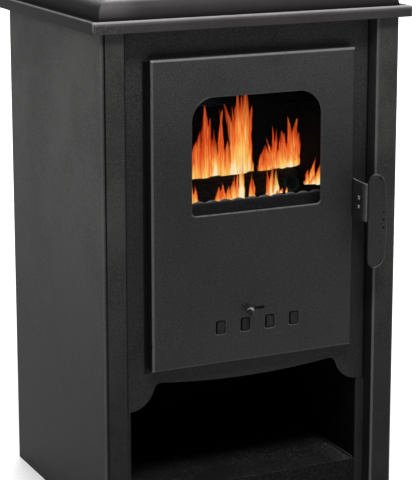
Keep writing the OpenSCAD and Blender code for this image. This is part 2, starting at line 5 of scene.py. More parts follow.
import bpy
import numpy as np
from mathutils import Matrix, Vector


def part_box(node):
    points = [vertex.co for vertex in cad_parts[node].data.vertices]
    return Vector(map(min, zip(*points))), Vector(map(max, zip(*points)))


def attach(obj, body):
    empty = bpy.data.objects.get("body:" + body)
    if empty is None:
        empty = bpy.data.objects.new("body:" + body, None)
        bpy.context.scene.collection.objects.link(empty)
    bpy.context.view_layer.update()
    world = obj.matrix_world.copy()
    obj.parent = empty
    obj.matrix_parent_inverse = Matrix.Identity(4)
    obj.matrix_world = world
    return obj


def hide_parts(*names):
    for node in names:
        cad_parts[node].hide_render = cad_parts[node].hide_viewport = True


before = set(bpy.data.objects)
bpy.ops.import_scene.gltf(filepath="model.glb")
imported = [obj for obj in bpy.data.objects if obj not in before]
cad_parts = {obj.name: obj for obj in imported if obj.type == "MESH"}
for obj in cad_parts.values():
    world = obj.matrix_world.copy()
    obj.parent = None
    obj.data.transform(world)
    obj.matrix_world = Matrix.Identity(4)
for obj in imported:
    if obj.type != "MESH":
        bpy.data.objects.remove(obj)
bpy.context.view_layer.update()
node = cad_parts

# ---
# Camera and soft boxes. The stove stands a little turned, seen from above its top edge. A tall
# soft box stands to its left, a wide one hangs overhead, and a strip lights the rim.


def add(name, data):
    """New object in the scene."""
    made = bpy.data.objects.new(name, data)
    bpy.context.scene.collection.objects.link(made)
    return made


camera = add("camera", bpy.data.cameras.new("camera"))
camera.data.lens = 136.97
camera.data.shift_y = -0.12
camera.location = (-1.0416, -2.1862, 0.9194)
look_down, look_right = 11.866, 25.805
camera.rotation_euler = (math.radians(90 - look_down), 0, -math.radians(look_right))
bpy.context.scene.camera = camera
bpy.context.scene.view_settings.view_transform = "Standard"

sky = bpy.data.worlds.new("studio")
sky.use_nodes = True
glow = sky.node_tree.nodes["Background"].inputs
glow["Color"].default_value, glow["Strength"].default_value = (1, 1, 1, 1), 0.1
bpy.context.scene.world = sky


def soft_box(name, place, aim, size, watts):
    """Rectangular lamp at place whose face looks at aim."""
    lamp = bpy.data.lights.new(name, "AREA")
    lamp.shape = "RECTANGLE"
    lamp.size, lamp.size_y = size
    lamp.energy = watts
    box = add(name, lamp)
    box.location = place
    x, y, z = np.subtract(aim, place)
    box.rotation_euler = (math.atan2(math.hypot(x, y), -z), 0, math.atan2(y, x) - math.pi / 2)


soft_box("left_box", (-2.4, -0.3, 2.2), (-0.1, 0, 0.5), (1.5, 1.5), 22)
soft_box("overhead_box", (0.2, 0.4, 3.4), (0, 0, 0), (4.5, 4.5), 60)
soft_box("rim_box", (-0.35, -1.5, 2.5), (0, -0.1, 0.5), (1.1, 0.6), 48)
soft_box("back_box", (2.0, 5.0, 3.5), (2.0, 5.0, 0), (7.0, 5.0), 520)

# ---
# Floor. A pale seamless studio floor of painted board. Its finish, like every other one here, is
# written as sums and mixes of wires.


class Wire:
    """One socket of a finish. Arithmetic adds Math nodes, and node() adds any other kind."""

    def __init__(self, tree, out=None):
        self.tree, self.out = tree, out

    def node(self, kind, settings=None, sockets=None, output=0):
        """Adds a node. Its settings are set first, then each socket takes a value or a wire."""
        made = self.tree.nodes.new("ShaderNode" + kind)
        for name, value in (settings or {}).items():
            setattr(made, name, value)
        for name, value in (sockets or {}).items():
            if isinstance(value, Wire):
                self.tree.links.new(value.out, made.inputs[name])
            else:
                made.inputs[name].default_value = value
        return Wire(self.tree, made.outputs[output])

    def maths(self, operation, *others, clamp=False):
        settings = {"operation": operation, "use_clamp": clamp}
        return self.node("Math", settings, dict(enumerate((self, *others))))

    def __add__(self, other):
        return self.maths("ADD", other)

    def __sub__(self, other):
        return self.maths("SUBTRACT", other)

    def __rsub__(self, other):
        return self.node("Math", {"operation": "SUBTRACT"}, {0: other, 1: self})

    def __mul__(self, other):
        return self.maths("MULTIPLY", other)

    def __pow__(self, other):
        return self.maths("POWER", other)

    __radd__, __rmul__ = __add__, __mul__

    def held(self):
        """The value kept between 0 and 1."""
        return self.maths("ADD", 0.0, clamp=True)

    def between(self, low, high):
        """0 below low, 1 above high, with a smooth step between them."""
        sockets = {"Value": self, "From Min": low, "From Max": high}
        return self.node("MapRange", {"interpolation_type": "SMOOTHSTEP"}, sockets)

    def below(self, low, high):
        """1 below low, 0 above high."""
        return 1.0 - self.between(low, high)

    def mix(self, low, high):
        """Colour low where the mask is 0, and high where it is 1. A plain number is a grey."""
        pair = [(c, c, c) if isinstance(c, float) else c for c in (low, high)]
        pair = [c if isinstance(c, Wire) else (*c, 1.0) for c in pair]
        return self.node("Mix", {"data_type": "RGBA"}, {0: self, 6: pair[0], 7: pair[1]}, 2)

    def ramp(self, *stops):
        """Colour along a ramp of (position, colour) stops."""
        made = self.node("ValToRGB", {}, {"Fac": self})
        elements = made.out.node.color_ramp.elements
        while len(elements) < len(stops):
            elements.new(1.0)
        for element, (at, colour) in zip(elements, stops):
            element.position, element.color = at, (*colour, 1)
        return made

    def stretched(self, x, y, z):
        """These coordinates times x, y and z."""
        return self.node("Mapping", {}, {"Vector": self, "Scale": (x, y, z)})

    def noise(self, scale, detail=4.0, rough=0.6):
        sockets = {"Vector": self, "Scale": scale, "Detail": detail, "Roughness": rough}
        return self.node("TexNoise", {}, sockets)

    def cells(self, scale, feature="F1"):
        sockets = {"Vector": self, "Scale": scale}
        return self.node("TexVoronoi", {"feature": feature}, sockets, "Distance")

    def axes(self):
        """The three coordinates as separate values."""
        split = self.node("SeparateXYZ", {}, {"Vector": self})
        return [Wire(self.tree, socket) for socket in split.out.node.outputs]

    def attribute(self, name):
        """A number that the mesh carries at each vertex."""
        return self.node("Attribute", {"attribute_name": name}, {}, "Fac")

    def bump(self, strength, depth):
        """Normal that follows this height."""
        return self.node("Bump", {}, {"Height": self, "Strength": strength, "Distance": depth})


def new_finish(name, fixed, build):
    """Finish with one shader. From the object coordinates in metres, build gives the wires of its
    sockets. The fixed sockets have plain values."""
    material = bpy.data.materials.new(name)
    material.use_nodes = True
    shader = material.node_tree.nodes["Principled BSDF"]
    for socket, value in fixed.items():
        shader.inputs[socket].default_value = value
    place = Wire(material.node_tree).node("TexCoord", output="Object")
    for socket, wire in build(place).items():
        material.node_tree.links.new(wire.out, shader.inputs[socket])
    return material


def floor_finish(place):
    cloud = place.noise(3.0, 3.0, 0.5)
    return {"Base Color": cloud.mix((0.86, 0.86, 0.86), (0.93, 0.93, 0.93))}


floor = bpy.data.meshes.new("floor")
floor.from_pydata([(-9, -9, 0), (9, -9, 0), (9, 9, 0), (-9, 9, 0)], [], [(0, 1, 2, 3)])
floor.materials.append(new_finish("floor_board", {"Roughness": 0.7}, floor_finish))
add("floor", floor)

# ---
# Side panels, posts, fascia and heat shield. Folded sheet steel under matt heat-resistant
# paint, whose fine grain shows close up. Along the folds the paint is lighter, partly wearing thin and
# partly a painted highlight, and painted light and shade lie on the sides, the front and the corners.


def dress(finish, *names):
    """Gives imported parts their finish."""
    for name in names:
        node[name].data.materials.clear()
        node[name].data.materials.append(finish)


def stove_paint(greys, shine, folds=(), wear_highlight_grey=0.10, roll=0.0026, groove=None, smudge=0.4):
    """Matt paint with grain. The greys are a dark and a light one, how much stronger they are at the
    foot and at the top of the stove, and the heights of both, which paints shade towards the foot and
    light towards the top. Each fold is (axis, place, axis, place, strength) of a lighter edge, partly
    paint wearing thin and partly a painted highlight, near which the face rounds off within the
    distance roll. Marks on a piece lighten it where its paint wears thin or a highlight is painted, and
    darken it with painted shade. With a groove (x, y, face shade, front shade, hair), painted shade
    darkens the face at x behind y, painted shade darkens the face before y, more towards the top, and
    a fine dark line of painted shade runs up it at hair. Broad patches differ in tone by smudge."""
    dark, light, foot, top, low, high = greys

    def build(place):
        x, y, z = axes = place.axes()
        grain, speck = place.noise(1300, 2.0, 0.6), place.noise(640, 1.0, 0.5)
        cloud, patchiness = place.noise(9), place.noise(240, 3.0, 0.7)
        tone = ((grain * 0.6 + speck * 1.1 + cloud * smudge - 0.6 - smudge * 0.5) * 2.2).held()
        # Painted shade and light: each grey dims towards the foot and strengthens towards the top.
        shades = [tone.mix([c * k for c in dark], [c * k for c in light]) for k in (foot, top)]
        base = z.between(low, high).mix(*shades)
        # Marked points are lighter where paint wears thin and where a highlight is painted, and darker
        # with painted shade.
        worn = place.attribute("worn") * (patchiness.between(0.3, 0.65) * 0.6 + 0.4)
        shade_mask = place.attribute("grimy")
        height = grain * 0.6 + speck + cloud * 0.3
        # Each fold lightens the paint along its edge: partly wear, partly a painted highlight.
        for first, here, second, there, strength in folds:
            away = ((axes[first] - here) ** 2.0 + (axes[second] - there) ** 2.0) ** 0.5
            worn = worn + away.below(roll * 0.35, roll) * (patchiness * 0.5 + 0.4) * strength
            height = height + away.between(0.0, roll) * 12.0
        base = worn.held().mix(base, wear_highlight_grey)
        # Painted shade on the recessed face, over the face before it, and along a dark hairline in the
        # crease.
        if groove:
            face, edge, shade_amount, shade, hair = groove
            on_face = (x - face).maths("ABSOLUTE").below(0.0003, 0.0008)
            shade_mask = shade_mask + on_face * y.between(edge, edge + 0.001) * shade_amount
            line = (x - hair).maths("ABSOLUTE").below(0.0007, 0.0016) * 0.75
            fade = (z.between(low, high) * 0.9 + 0.1) * shade
            before = y.below(edge - 0.0028, edge - 0.0020)
            base = (before * (fade + line).held()).mix(base, 0.003)
        rough = cloud * 0.16 + grain * 0.1 + (shine - 0.13) - worn * 0.15 + shade_mask * 0.4
        # Painted shade darkens the marked points.
        base = shade_mask.mix(base, 0.0008)
        return {"Base Color": base, "Roughness": rough, "Normal": height.bump(0.30, 0.0005)}

    return build


# The sides and the front wear one paint. The sides' lighter greys and the front's darker ones are
# painted light and shade, and so is the tone growing from foot to top.
lit_side_grey = (0.034, 0.0336, 0.0328), (0.066, 0.0654, 0.0640), 0.34, 1.22, 0.1, 0.65
shaded_front_grey = (0.009, 0.0091, 0.0091), (0.027, 0.0274, 0.0272), 0.92, 1.85, 0.42, 0.63
post_step = 0.1784
for name, side in (("left_side_panel", 0), ("right_side_panel", 1)):
    low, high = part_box(name)
    x, step, hair = ((low.x, -post_step, low.x + 0.005), (high.x, post_step, high.x - 0.0005))[side]
    # Lighter fold edges, partly wear and partly painted highlight; only the right post's step edge gets
    # a painted highlight. The groove paints shade on the step face, on the post's front and in a dark
    # hairline.
    folds = [(0, x, 1, low.y, 0.36), (0, x, 1, high.y, 0.5), (0, step, 1, low.y, 0.55 * side)]
    groove = (step, low.y + 0.003, 0.58, 0.32, hair)
    paint = stove_paint(lit_side_grey, 0.5, folds, 0.2, 0.0034, groove, 1.3)
    dress(new_finish(name + "_paint", {"Specular IOR Level": 0.05}, paint), name)
plain_paint = stove_paint(shaded_front_grey, 0.55)


def black_paint(name, specular, *looks):
    """Finish with the front's paint. The looks are what stove_paint takes after the greys."""
    return new_finish(name, {"Specular IOR Level": specular}, stove_paint(shaded_front_grey, *looks))


fascia_paint = black_paint("fascia_paint", 0.15, 0.55)
dress(fascia_paint, "rear_panel", "flue_collar", "hinge_brackets")


def fascia_finish(place):
    """Fascia: its paint, with painted shade below the rim and in the corner beside each post, and a
    painted shadow along the door's hinge side."""
    sockets = plain_paint(place)
    x, _, z = place.axes()
    # Painted shade in the corners by the posts and under the rim, and a painted shadow beside the
    # door's hinge side.
    seam = x.below(-0.1712, -0.1680) + x.between(0.1730, 0.1764)
    hinge_side = x.between(-0.1478, -0.1462) * x.below(-0.141, -0.139)
    hinge_side = hinge_side * z.between(0.199, 0.203) * z.below(0.601, 0.605) * 0.95
    soot_and_shadow = z.between(0.615, 0.645) * 0.3
    shade_amount = (seam + hinge_side + soot_and_shadow).held()
    sockets["Base Color"] = shade_amount.mix(sockets["Base Color"], 0.0012)
    return sockets


fascia_front = new_finish("fascia_front_paint", {"Specular IOR Level": 0.12}, fascia_finish)
dress(fascia_front, "front_panel")

# ---
# Pressed top. One sheet, drawn into a rim with a rolled bead, a groove and a raised hood, whose
# corners are welded and ground round. Satin paint shines along its bends, with painted highlights on
# the bead and the front left corner, and painted shade in the groove and on the sides.


def new_piece(name, stacks, finish, body, slot, *replaced, loop=False, crease=35, **marks):
    """New piece from stacks of rings in millimetres, each an array (ring, point, xyz), with its
    finish, the body it rides on, its slot, which is not used, the parts it stands for and a number at
    every point for each mark. A stack is a closed shell: every ring joins the next, and the two ends
    are capped, or joined to each other when loop is true. A shell whose volume, the sum of a . (b x c)
    / 6 over its triangles, is negative is turned."""
    points, faces, start = [], [], 0
    for stack in stacks:
        n, m = stack.shape[:2]
        i = np.arange(n if loop else n - 1)[:, None] * m
        j = np.arange(m)
        ahead, onward = (i + m) % (n * m), (j + 1) % m
        quads = np.stack([i + j, i + onward, ahead + onward, ahead + j], -1).reshape(-1, 4)
        ends = [] if loop else [j[::-1], (n - 1) * m + j]
        fans = [np.stack([np.full(m - 2, e[0]), e[1:-1], e[2:]], -1) for e in ends]
        flat = stack.reshape(-1, 3)
        thirds = np.concatenate([quads[:, :3], quads[:, [0, 2, 3]], *fans])
        a, b, c = (flat[thirds] - flat.mean(0)).transpose(1, 0, 2)
        way = -1 if (a * np.cross(b, c)).sum() < 0 else 1
        faces += (quads[:, ::way] + start).tolist() + [(e[::way] + start).tolist() for e in ends]
        points.append(flat / 1000)
        start += n * m
    mesh = bpy.data.meshes.new(name)
    mesh.from_pydata(np.concatenate(points), [], faces)
    mesh.shade_smooth()
    mesh.set_sharp_from_angle(angle=math.radians(crease))
    mesh.materials.append(finish)
    for mark, value in marks.items():
        layer = mesh.attributes.new(mark, "FLOAT", "POINT")
        layer.data.foreach_set("value", np.ravel(value).astype(np.float32))
    piece = add(name, mesh)
    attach(piece, body)
    if replaced:
        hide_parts(*replaced)


def xyz(x, y, z):
    """Points from three arrays, each spread over the shape of all three."""
    return np.stack(np.broadcast_arrays(x, y, z), -1)


def unit(ways):
    """These vectors with length 1."""
    return ways / np.linalg.norm(ways, axis=-1, keepdims=True)


def bent(line, steps):
    """Points of a line (x, y, bend radius) whose corners are arcs. An arc touches both legs at
    radius / tan(half the corner's angle) from the corner."""
    out = [np.array([line[0][:2]], float)]
    for (ax, ay, _), (bx, by, r), (cx, cy, _) in zip(line, line[1:], line[2:]):
        here = np.array([bx, by], float)
        u, w = unit(np.array([ax, ay]) - here), unit(np.array([cx, cy]) - here)
        half = math.acos(float(u @ w)) / 2
        centre = here + unit(u + w) * r / math.sin(half)
        first = here + u * r / math.tan(half) - centre
        turn = (math.pi - 2 * half) * math.copysign(1, u[1] * w[0] - u[0] * w[1])
        t = turn * np.linspace(0, 1, steps)[:, None]
        side = np.array([-first[1], first[0]])
        out.append(centre + first * np.cos(t) + side * np.sin(t))
    out.append(np.array([line[-1][:2]], float))
    return np.concatenate(out)


def beside(points, width):
    """The line moved sideways by width, along the mean normal of the two legs at each point."""
    legs = unit(np.diff(points, axis=0))
    along = unit(np.concatenate([legs[:1], legs[1:] + legs[:-1], legs[-1:]]))
    return points + width * np.stack([-along[:, 1], along[:, 0]], -1)


rim_w, rim_d, rim_y = 448.6, 337.0, -5.5
rim_z, rim_top, hood_top = 643.0, 657.6, 681.0
top_line = [
    (0, rim_z, 0), (0, rim_top, 3), (6, rim_top, 2.6), (7.2, rim_top - 2.8, 1.2),
    (12.2, rim_top - 2.4, 3), (15.4, hood_top, 15), (60, hood_top, 3), (60, hood_top - 7, 1),
    (72, hood_top - 7, 0),
]
outside = np.insert(bent(top_line, 10), 1, [(0, rim_top - 6)], axis=0)
section = np.concatenate([outside, beside(outside, -2)[::-1]])
inward, height = section.T[:, None]
corner = np.interp(inward, (0, 7, 14, 20, 40, 56, 80), (3.5, 3, 2.6, 3.5, 5, 0.6, 0.6))
steps = 9
angle = (np.arange(4)[:, None] * np.pi / 2 + np.linspace(0, np.pi / 2, steps)).reshape(-1, 1)
right, back = np.cos(angle), np.sin(angle)
middle = angle.reshape(4, steps)[:, steps // 2].repeat(steps)[:, None]
top_x = np.sign(np.cos(middle)) * (rim_w / 2 - inward - corner) + corner * right
top_y = np.sign(np.sin(middle)) * (rim_d / 2 - inward - corner) + corner * back + rim_y
# Painted highlight on the bead's crown, strong on the front and faint on the sides, and on the front
# left corner; painted shade in the groove and on the left and right sides.
on_bead = np.clip((height - rim_top + 3.6) / 2.4, 0, 1) * (inward < 6.2)
crown = on_bead * (0.06 + 0.94 * np.clip(-back, 0, 1))
front_left = np.exp(-(((np.arange(4 * steps)[:, None] - 22) / 0.9) ** 2))
nose = 0.75 * front_left * (inward < 0.5) * (height > rim_z + 1)
groove = (inward > 6.5) * (inward < 14.2) * (height < rim_top + 1)


def satin_paint(place):
    """Satin paint, with a painted highlight along the front left mitre, and scratches on the rim below
    it.
    """
    grain, cloud = place.noise(700, 2.0, 0.6), place.noise(13)
    worn, shade_mask = place.attribute("worn") * (cloud * 0.5 + 0.5), place.attribute("grimy")
    x, y, z = place.axes()
    left, front = x + rim_w / 2000, y - (rim_y - rim_d / 2) / 1000
    tone = (grain * 0.4 + cloud * 0.6 - 0.2).held()
    base = tone.mix((0.026, 0.0238, 0.0247), (0.060, 0.0555, 0.0574))
    # Painted highlight along the front left mitre.
    mitre = (left - front).between(0.0, 0.0010) * left.below(0.03, 0.075) * z.between(0.659, 0.662)
    base = (mitre * (cloud * 0.5 + 0.1)).mix(base, (0.16, 0.155, 0.155))
    # Painted shade in the groove and on the sides.
    base = (shade_mask * 0.85).mix(base, (0.0015, 0.0014, 0.0014))
    scratch = place.stretched(1, 1, 0.8).noise(230, 4.0, 0.75).between(0.52, 0.62)
    near = left.below(0.02, 0.05) * z.below(0.656, 0.659) * front.below(0.001, 0.003)
    base = (scratch * near * 0.4).mix(base, (0.15, 0.145, 0.145))
    # Painted highlights on the bead and the front left corner.
    base = worn.mix(base, (0.34, 0.325, 0.33))
    rough = cloud * 0.14 + grain * 0.08 + 0.30 - worn * 0.12 + shade_mask * 0.25
    return {"Base Color": base, "Roughness": rough, "Normal": (grain + cloud * 0.4).bump(0.12, 0.0003)}


top_paint = new_finish("top_paint", {"Specular IOR Level": 0.14}, satin_paint)
new_piece(
    "pressed_top", [xyz(top_x, top_y, height)], top_paint, "stove", "top_paint", "top_frame", loop=True,
    worn=np.maximum(crown, nose), grimy=np.maximum(groove, 0.6 * np.abs(right)),
)

# ---
# Welds and screws of the casing. The posts are spot-welded to the fascia, the store's floor has
# a bead of weld along each wall, and pan-head screws hold the heat shield.


def circle(count):
    """Angles of so many points, once round."""
    return np.linspace(0, 2 * np.pi, count, endpoint=False)


def bead(x, z, start, end):
    """Weld bead along Y. Its radius is 2.1 * (1 + 0.13 * cos(2 pi * y / 3.1)), with a slow waver."""
    y = np.arange(start, end, 0.62)[:, None]
    t = circle(12)
    radius = 2.1 * (1 + 0.13 * np.cos(2 * np.pi * y / 3.1 + 0.6 * np.cos(t)) + 0.08 * np.sin(y / 11))
    return xyz(x + radius * np.cos(t), y, z + radius * np.sin(t))


def spot(x, y, z, r):
    """Spot weld: a dome 0.45 * sqrt(1 - v ** 2) high on the fascia, with a ring pressed round it."""
    dome = np.linspace(1.0, 0.04, 9)
    radius = r * np.r_[1.0, 1.25, 1.12, dome][:, None]
    rise = np.r_[-0.6, -0.6, 0.12, 0.45 * np.sqrt(1 - dome**2)][:, None]
    t = circle(20)
    return xyz(x + radius * np.cos(t), y - rise, z + radius * np.sin(t))


def weld_finish(place):
    scale = place.noise(500, 3.0, 0.7)
    rust = place.noise(60).between(0.45, 0.65)
    base = (rust * 0.7).mix(0.03, (0.03, 0.018, 0.012))
    base = scale.between(0.5, 0.75).mix(base, (0.12, 0.117, 0.114))
    return {"Base Color": base, "Roughness": scale * 0.4 + 0.25, "Normal": scale.bump(0.4, 0.0006)}


weld_steel = new_finish("weld_steel", {"Metallic": 0.6}, weld_finish)
beads = [bead(x, 38.6, -139, 91) for x in (-163.4, 163.4)]
new_piece("store_welds", beads, weld_steel, "stove", "zinc_steel")
fascia_y = -143.3
spots = [spot(x, fascia_y, z, 3.0) for x in (-152, 152) for z in (196, 330, 448, 590)]
new_piece("spot_welds", spots, fascia_paint, "stove", "front_paint")


def pan_head(x, y, z, r, tall, turn):
    """Screw head that looks towards +Y. Up to v = 1 it is a dome, tall * (1 - v ** 2.6), and a cross
    of half width 0.5 is sunk 0.9 into its middle. The first rings close its underside."""
    dome = np.linspace(0.99, 0.02, 22)
    v = np.r_[0.55, 1.0, 1.0, dome][:, None]
    rise = np.r_[-0.3, -0.3, 0.0, tall * (1 - dome**2.6)][:, None]
    t = circle(48)
    px, pz = r * v * np.cos(t), r * v * np.sin(t)
    off = np.minimum(np.abs(px), np.abs(pz))
    cross = 1 / (1 + np.exp((off - 0.5) / 0.08)) / (1 + np.exp((v * r - 0.62 * r) / 0.12))
    rise = rise - 0.9 * cross * (np.arange(len(v)) > 3)[:, None]
    c, s = math.cos(turn), math.sin(turn)
    return xyz(x + c * px - s * pz, y + rise, z + s * px + c * pz)


def zinc_finish(place):
    spangle = place.cells(260)
    cloud = place.noise(60)
    base = (spangle * 2.0 + cloud * 0.6 - 0.4).held().mix(0.10, 0.30)
    return {"Base Color": base, "Roughness": cloud * 0.3 + 0.3, "Normal": cloud.bump(0.1, 0.0003)}


zinc = new_finish("zinc_plate", {"Metallic": 0.8}, zinc_finish)
places = [(x, z) for x in (-199, 199) for z in (60, 330, 600)]
shield_y = 160.5
heads = [pan_head(x, shield_y, z, 4.0, 2.0, 0.7 * i) for i, (x, z) in enumerate(places)]
new_piece("pan_head_screws", heads, zinc, "stove", "zinc_steel", "casing_screws")


def store_floor(place):
    """Floor of the store: dusty paint, pale grit along its right side whose specks also serve as
    painted glints, and a darker front flange.
    """
    grain, patch = place.noise(900, 2.0, 0.6), place.noise(14)
    dust = place.noise(330, 5.0, 0.75)
    x, _, z = place.axes()
    base = (dust.between(0.52, 0.70) * patch.between(0.35, 0.6)).mix(0.012, 0.085)
    # Pale grit specks, which also serve as painted glints.
    grit = x.between(0.128, 0.165) * place.noise(620, 3.0, 0.8).between(0.54, 0.66)
    base = (grit * 0.9).mix(base, (0.26, 0.25, 0.24))
    flange = dust.between(0.42, 0.66).mix(0.006, 0.018)
    base = z.between(0.0355, 0.0376).mix(flange, base)
    rough = 0.75 - patch * 0.3
    return {"Base Color": base, "Roughness": rough, "Normal": (grain + dust).bump(0.3, 0.0005)}


floor_paint = new_finish("store_floor_paint", {"Specular IOR Level": 0.03}, store_floor)
dress(floor_paint, "base_plate")

# ---
# Firebox. Welded plates, black with soot, lined with fireclay bricks that the fire has
# blackened.


def soot_finish(place):
    """Sooty plate: fine flakes, paler where the soot has burnt off."""
    flakes = place.noise(420, 3.0, 0.7)
    burnt = place.noise(22, 5.0, 0.65).between(0.5, 0.75)
    base = (burnt * 0.6 + flakes * 0.5 - 0.15).held().mix(0.0010, (0.005, 0.0049, 0.0047))
    return {"Base Color": base, "Roughness": 0.9 - burnt * 0.2, "Normal": flakes.bump(0.35, 0.0006)}


soot = new_finish("sooty_steel", {"Specular IOR Level": 0.05}, soot_finish)
walls = "inner_left_wall", "inner_right_wall", "inner_rear_wall"
dress(soot, *walls, "firebox_floor", "fire_plate", "baffle_plate", "door_liner")


def brick_finish(place):
    grit = place.noise(600, 4.0, 0.7)
    pits = place.cells(170)
    soot_and_shadow = place.noise(14, 5.0, 0.6)
    height = place.axes()[2]
    clean = soot_and_shadow.between(0.52, 0.74) * height.below(0.36, 0.50)
    base = clean.mix((0.0004, 0.0006, 0.0006), (0.005, 0.0052, 0.0050))
    base = (grit.between(0.35, 0.7) * 0.4).mix(base, (0.0014, 0.0015, 0.0015))
    return {"Base Color": base, "Normal": (grit * 0.5 + pits * 0.5).bump(0.5, 0.001)}


def waves(u, v, seed, low, high, count=14):
    """Uneven relief of about -1 to 1: a sum of sines of p * u + q * v with whole p between low and
    high, and random q and phase."""
    draw = np.random.default_rng(seed)
    total = 0.0 * u * v
    for _ in range(count):
        whole, slope = draw.integers(low, high), draw.uniform(-1, 1)
        total = total + np.sin(whole * u + slope * v + draw.uniform(0, 6.3))
    return total / math.sqrt(count) * 0.8


def fire_brick(low, high, seed):
    """Brick as rings up Z. A ring is a rectangle, worn back by 0.9 + 2.4 * waves at its corners, which
    falls off as exp(-distance / 2) to 0.12 of that. The first and last ring lie 1.2 further in, which
    falls off as exp(-distance / 0.6)."""
    t, still = np.linspace(0, 1, 20), np.ones(18)
    (x0, y0, z0), (x1, y1, z1) = low, high
    x = np.r_[x0 + (x1 - x0) * t, x1 * still, x1 + (x0 - x1) * t, x0 * still]
    run = t[1:-1]
    y = np.r_[y0 + 0 * t, y0 + (y1 - y0) * run, y1 + 0 * t, y1 + (y0 - y1) * run]
    z = np.r_[z0, z0 + 0.5, np.linspace(z0 + 2, z1 - 2, 40), z1 - 0.5, z1][:, None]
    around = np.arange(len(x)) / len(x) * 2 * np.pi
    off_x, off_y = np.minimum(x - x0, x1 - x), np.minimum(y - y0, y1 - y)
    edge = np.exp(-np.hypot(off_x, off_y) / 2.0).clip(0.12)
    chip = edge * (np.clip(waves(around, z / 6, seed, 2, 30), 0, 1) * 2.4 + 0.9)
    inset = chip + 1.2 * np.exp(-np.minimum(z - z0, z1 - z) / 0.6)

    def worn_back(v, middle, off):
        return v - np.sign(v - middle) * np.minimum(inset, abs(v - middle)) * (off < 4)

    return xyz(worn_back(x, (x0 + x1) / 2, off_x), worn_back(y, (y0 + y1) / 2, off_y), z)


fireclay = new_finish("sooty_fireclay", {"Roughness": 0.95, "Specular IOR Level": 0.1}, brick_finish)
for seed, side in enumerate(("left", "right", "rear"), 40):
    low, high = (np.array(c) * 1000 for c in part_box(side + "_firebrick"))
    brick = [fire_brick(low, high, seed)]
    new_piece(side + "_brick", brick, fireclay, "stove", "firebrick", side + "_firebrick")

# ---
# Log guard. A strip of steel between the bricks, whose top edge is a row of pressed bumps with a
# rounded rim.


def capsule(run, nose=5):
    """Outline of a flat strip with round edges, with the stations run on both faces: how far across
    (0 to 1), and the parts of the half thickness that are added outwards and sideways."""
    t = np.linspace(0, np.pi, nose + 2)[1:-1]
    across = np.r_[run, np.ones(nose), run[::-1], np.zeros(nose)]
    outwards = np.r_[0 * run, np.sin(t), 0 * run, -np.sin(t)]
    sideways = np.r_[0 * run + 1, np.cos(t), 0 * run - 1, -np.cos(t)]
    return across, outwards, sideways


def guard_strip():
    """Strip as rings along X. Its top is 411 + 2.6 * |sin(pi * (x - 159.5) / 19)|, rounded where two
    bumps meet, and every bump swells 0.55 towards the front."""
    foot, top, middle_y, half, end = 355.5, 411, -119.9, 1.25, 159.5
    x = np.linspace(-163.8, 163.8, 700)[:, None]
    across, outwards, sideways = capsule(np.linspace(0, 1, 14))
    wave = np.sqrt(np.sin(np.pi * (x - end) / 19) ** 2 + 0.004)
    bump = 2.6 * wave * (np.abs(x) < end)
    z = foot - half + (top + bump - foot) * across + half * outwards
    swell = 0.55 * wave * np.exp(-(((z - 408) / 3.0) ** 2)) * (sideways < 0)
    return xyz(x, middle_y + half * sideways - swell, z)


def guard_finish(place):
    flakes = place.noise(500, 3.0, 0.7)
    burnt = place.noise(30)
    # Painted highlight along the rounded top rim.
    rim = place.axes()[2].between(0.4095, 0.4125)
    tone = (flakes.between(0.4, 0.7) * 0.7 + burnt * 0.2).held()
    base = tone.mix(0.008, (0.045, 0.045, 0.044))
    base = (rim * 0.6).mix(base, (0.22, 0.21, 0.21))
    return {"Base Color": base, "Roughness": 0.62 - rim * 0.2, "Normal": flakes.bump(0.3, 0.0005)}


guard_steel = new_finish("guard_steel", {"Metallic": 0.35}, guard_finish)
new_piece("scalloped_guard", [guard_strip()], guard_steel, "stove", "inner_steel", "log_guard")

# ---
# Cast iron: the grate, the hob plate with its ring and lid. Sand-cast, ground flat on top in
# circles, and darkened by heat and oil.


def iron_finish(dark, light, turned):
    """Cast iron with sand grain, and rings about the hob's middle where it is turned."""

    def build(place):
        sand = place.noise(900, 3.0, 0.65)
        stain = place.noise(16)
        height = sand
        if turned:
            low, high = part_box("hob_lid")
            x, y, _ = place.axes()
            x, y = x - (low.x + high.x) / 2, y - (low.y + high.y) / 2
            height = sand * 0.5 + ((x * x + y * y) ** 0.5 * 5200.0).maths("SINE") * 0.25
        base = (stain * 0.7 + sand * 0.5 - 0.1).held().mix(dark, light)
        rough = stain * 0.25 + 0.34
        return {"Base Color": base, "Roughness": rough, "Normal": height.bump(0.25, 0.0004)}

    return build


ground = iron_finish((0.02, 0.02, 0.021), (0.06, 0.058, 0.056), True)
hob_iron = new_finish("ground_iron", {"Metallic": 0.5}, ground)
dress(hob_iron, "hob_plate", "hob_ring", "hob_lid")
rough_iron = iron_finish(0.008, (0.03, 0.028, 0.026), False)
dress(new_finish("grate_iron", {}, rough_iron), "grate")

# ---
# Zinc-plated and plain small parts: ash pan, guides, clips, screws and pins, and the slide of
# dark rolled steel behind the air holes.

dress(zinc, "ash_pan", "ash_pan_handle", "flue_screws", "latch_keeper", "glass_clips")
dress(zinc, "glass_screws", "hinge_pins", "slide_guides", "handle_pivot", "handle_stop")
hole_pitch, hole_half = 35.5, 7.5
hole_xs = [7.6 + (i - 1.5) * hole_pitch for i in range(4)]


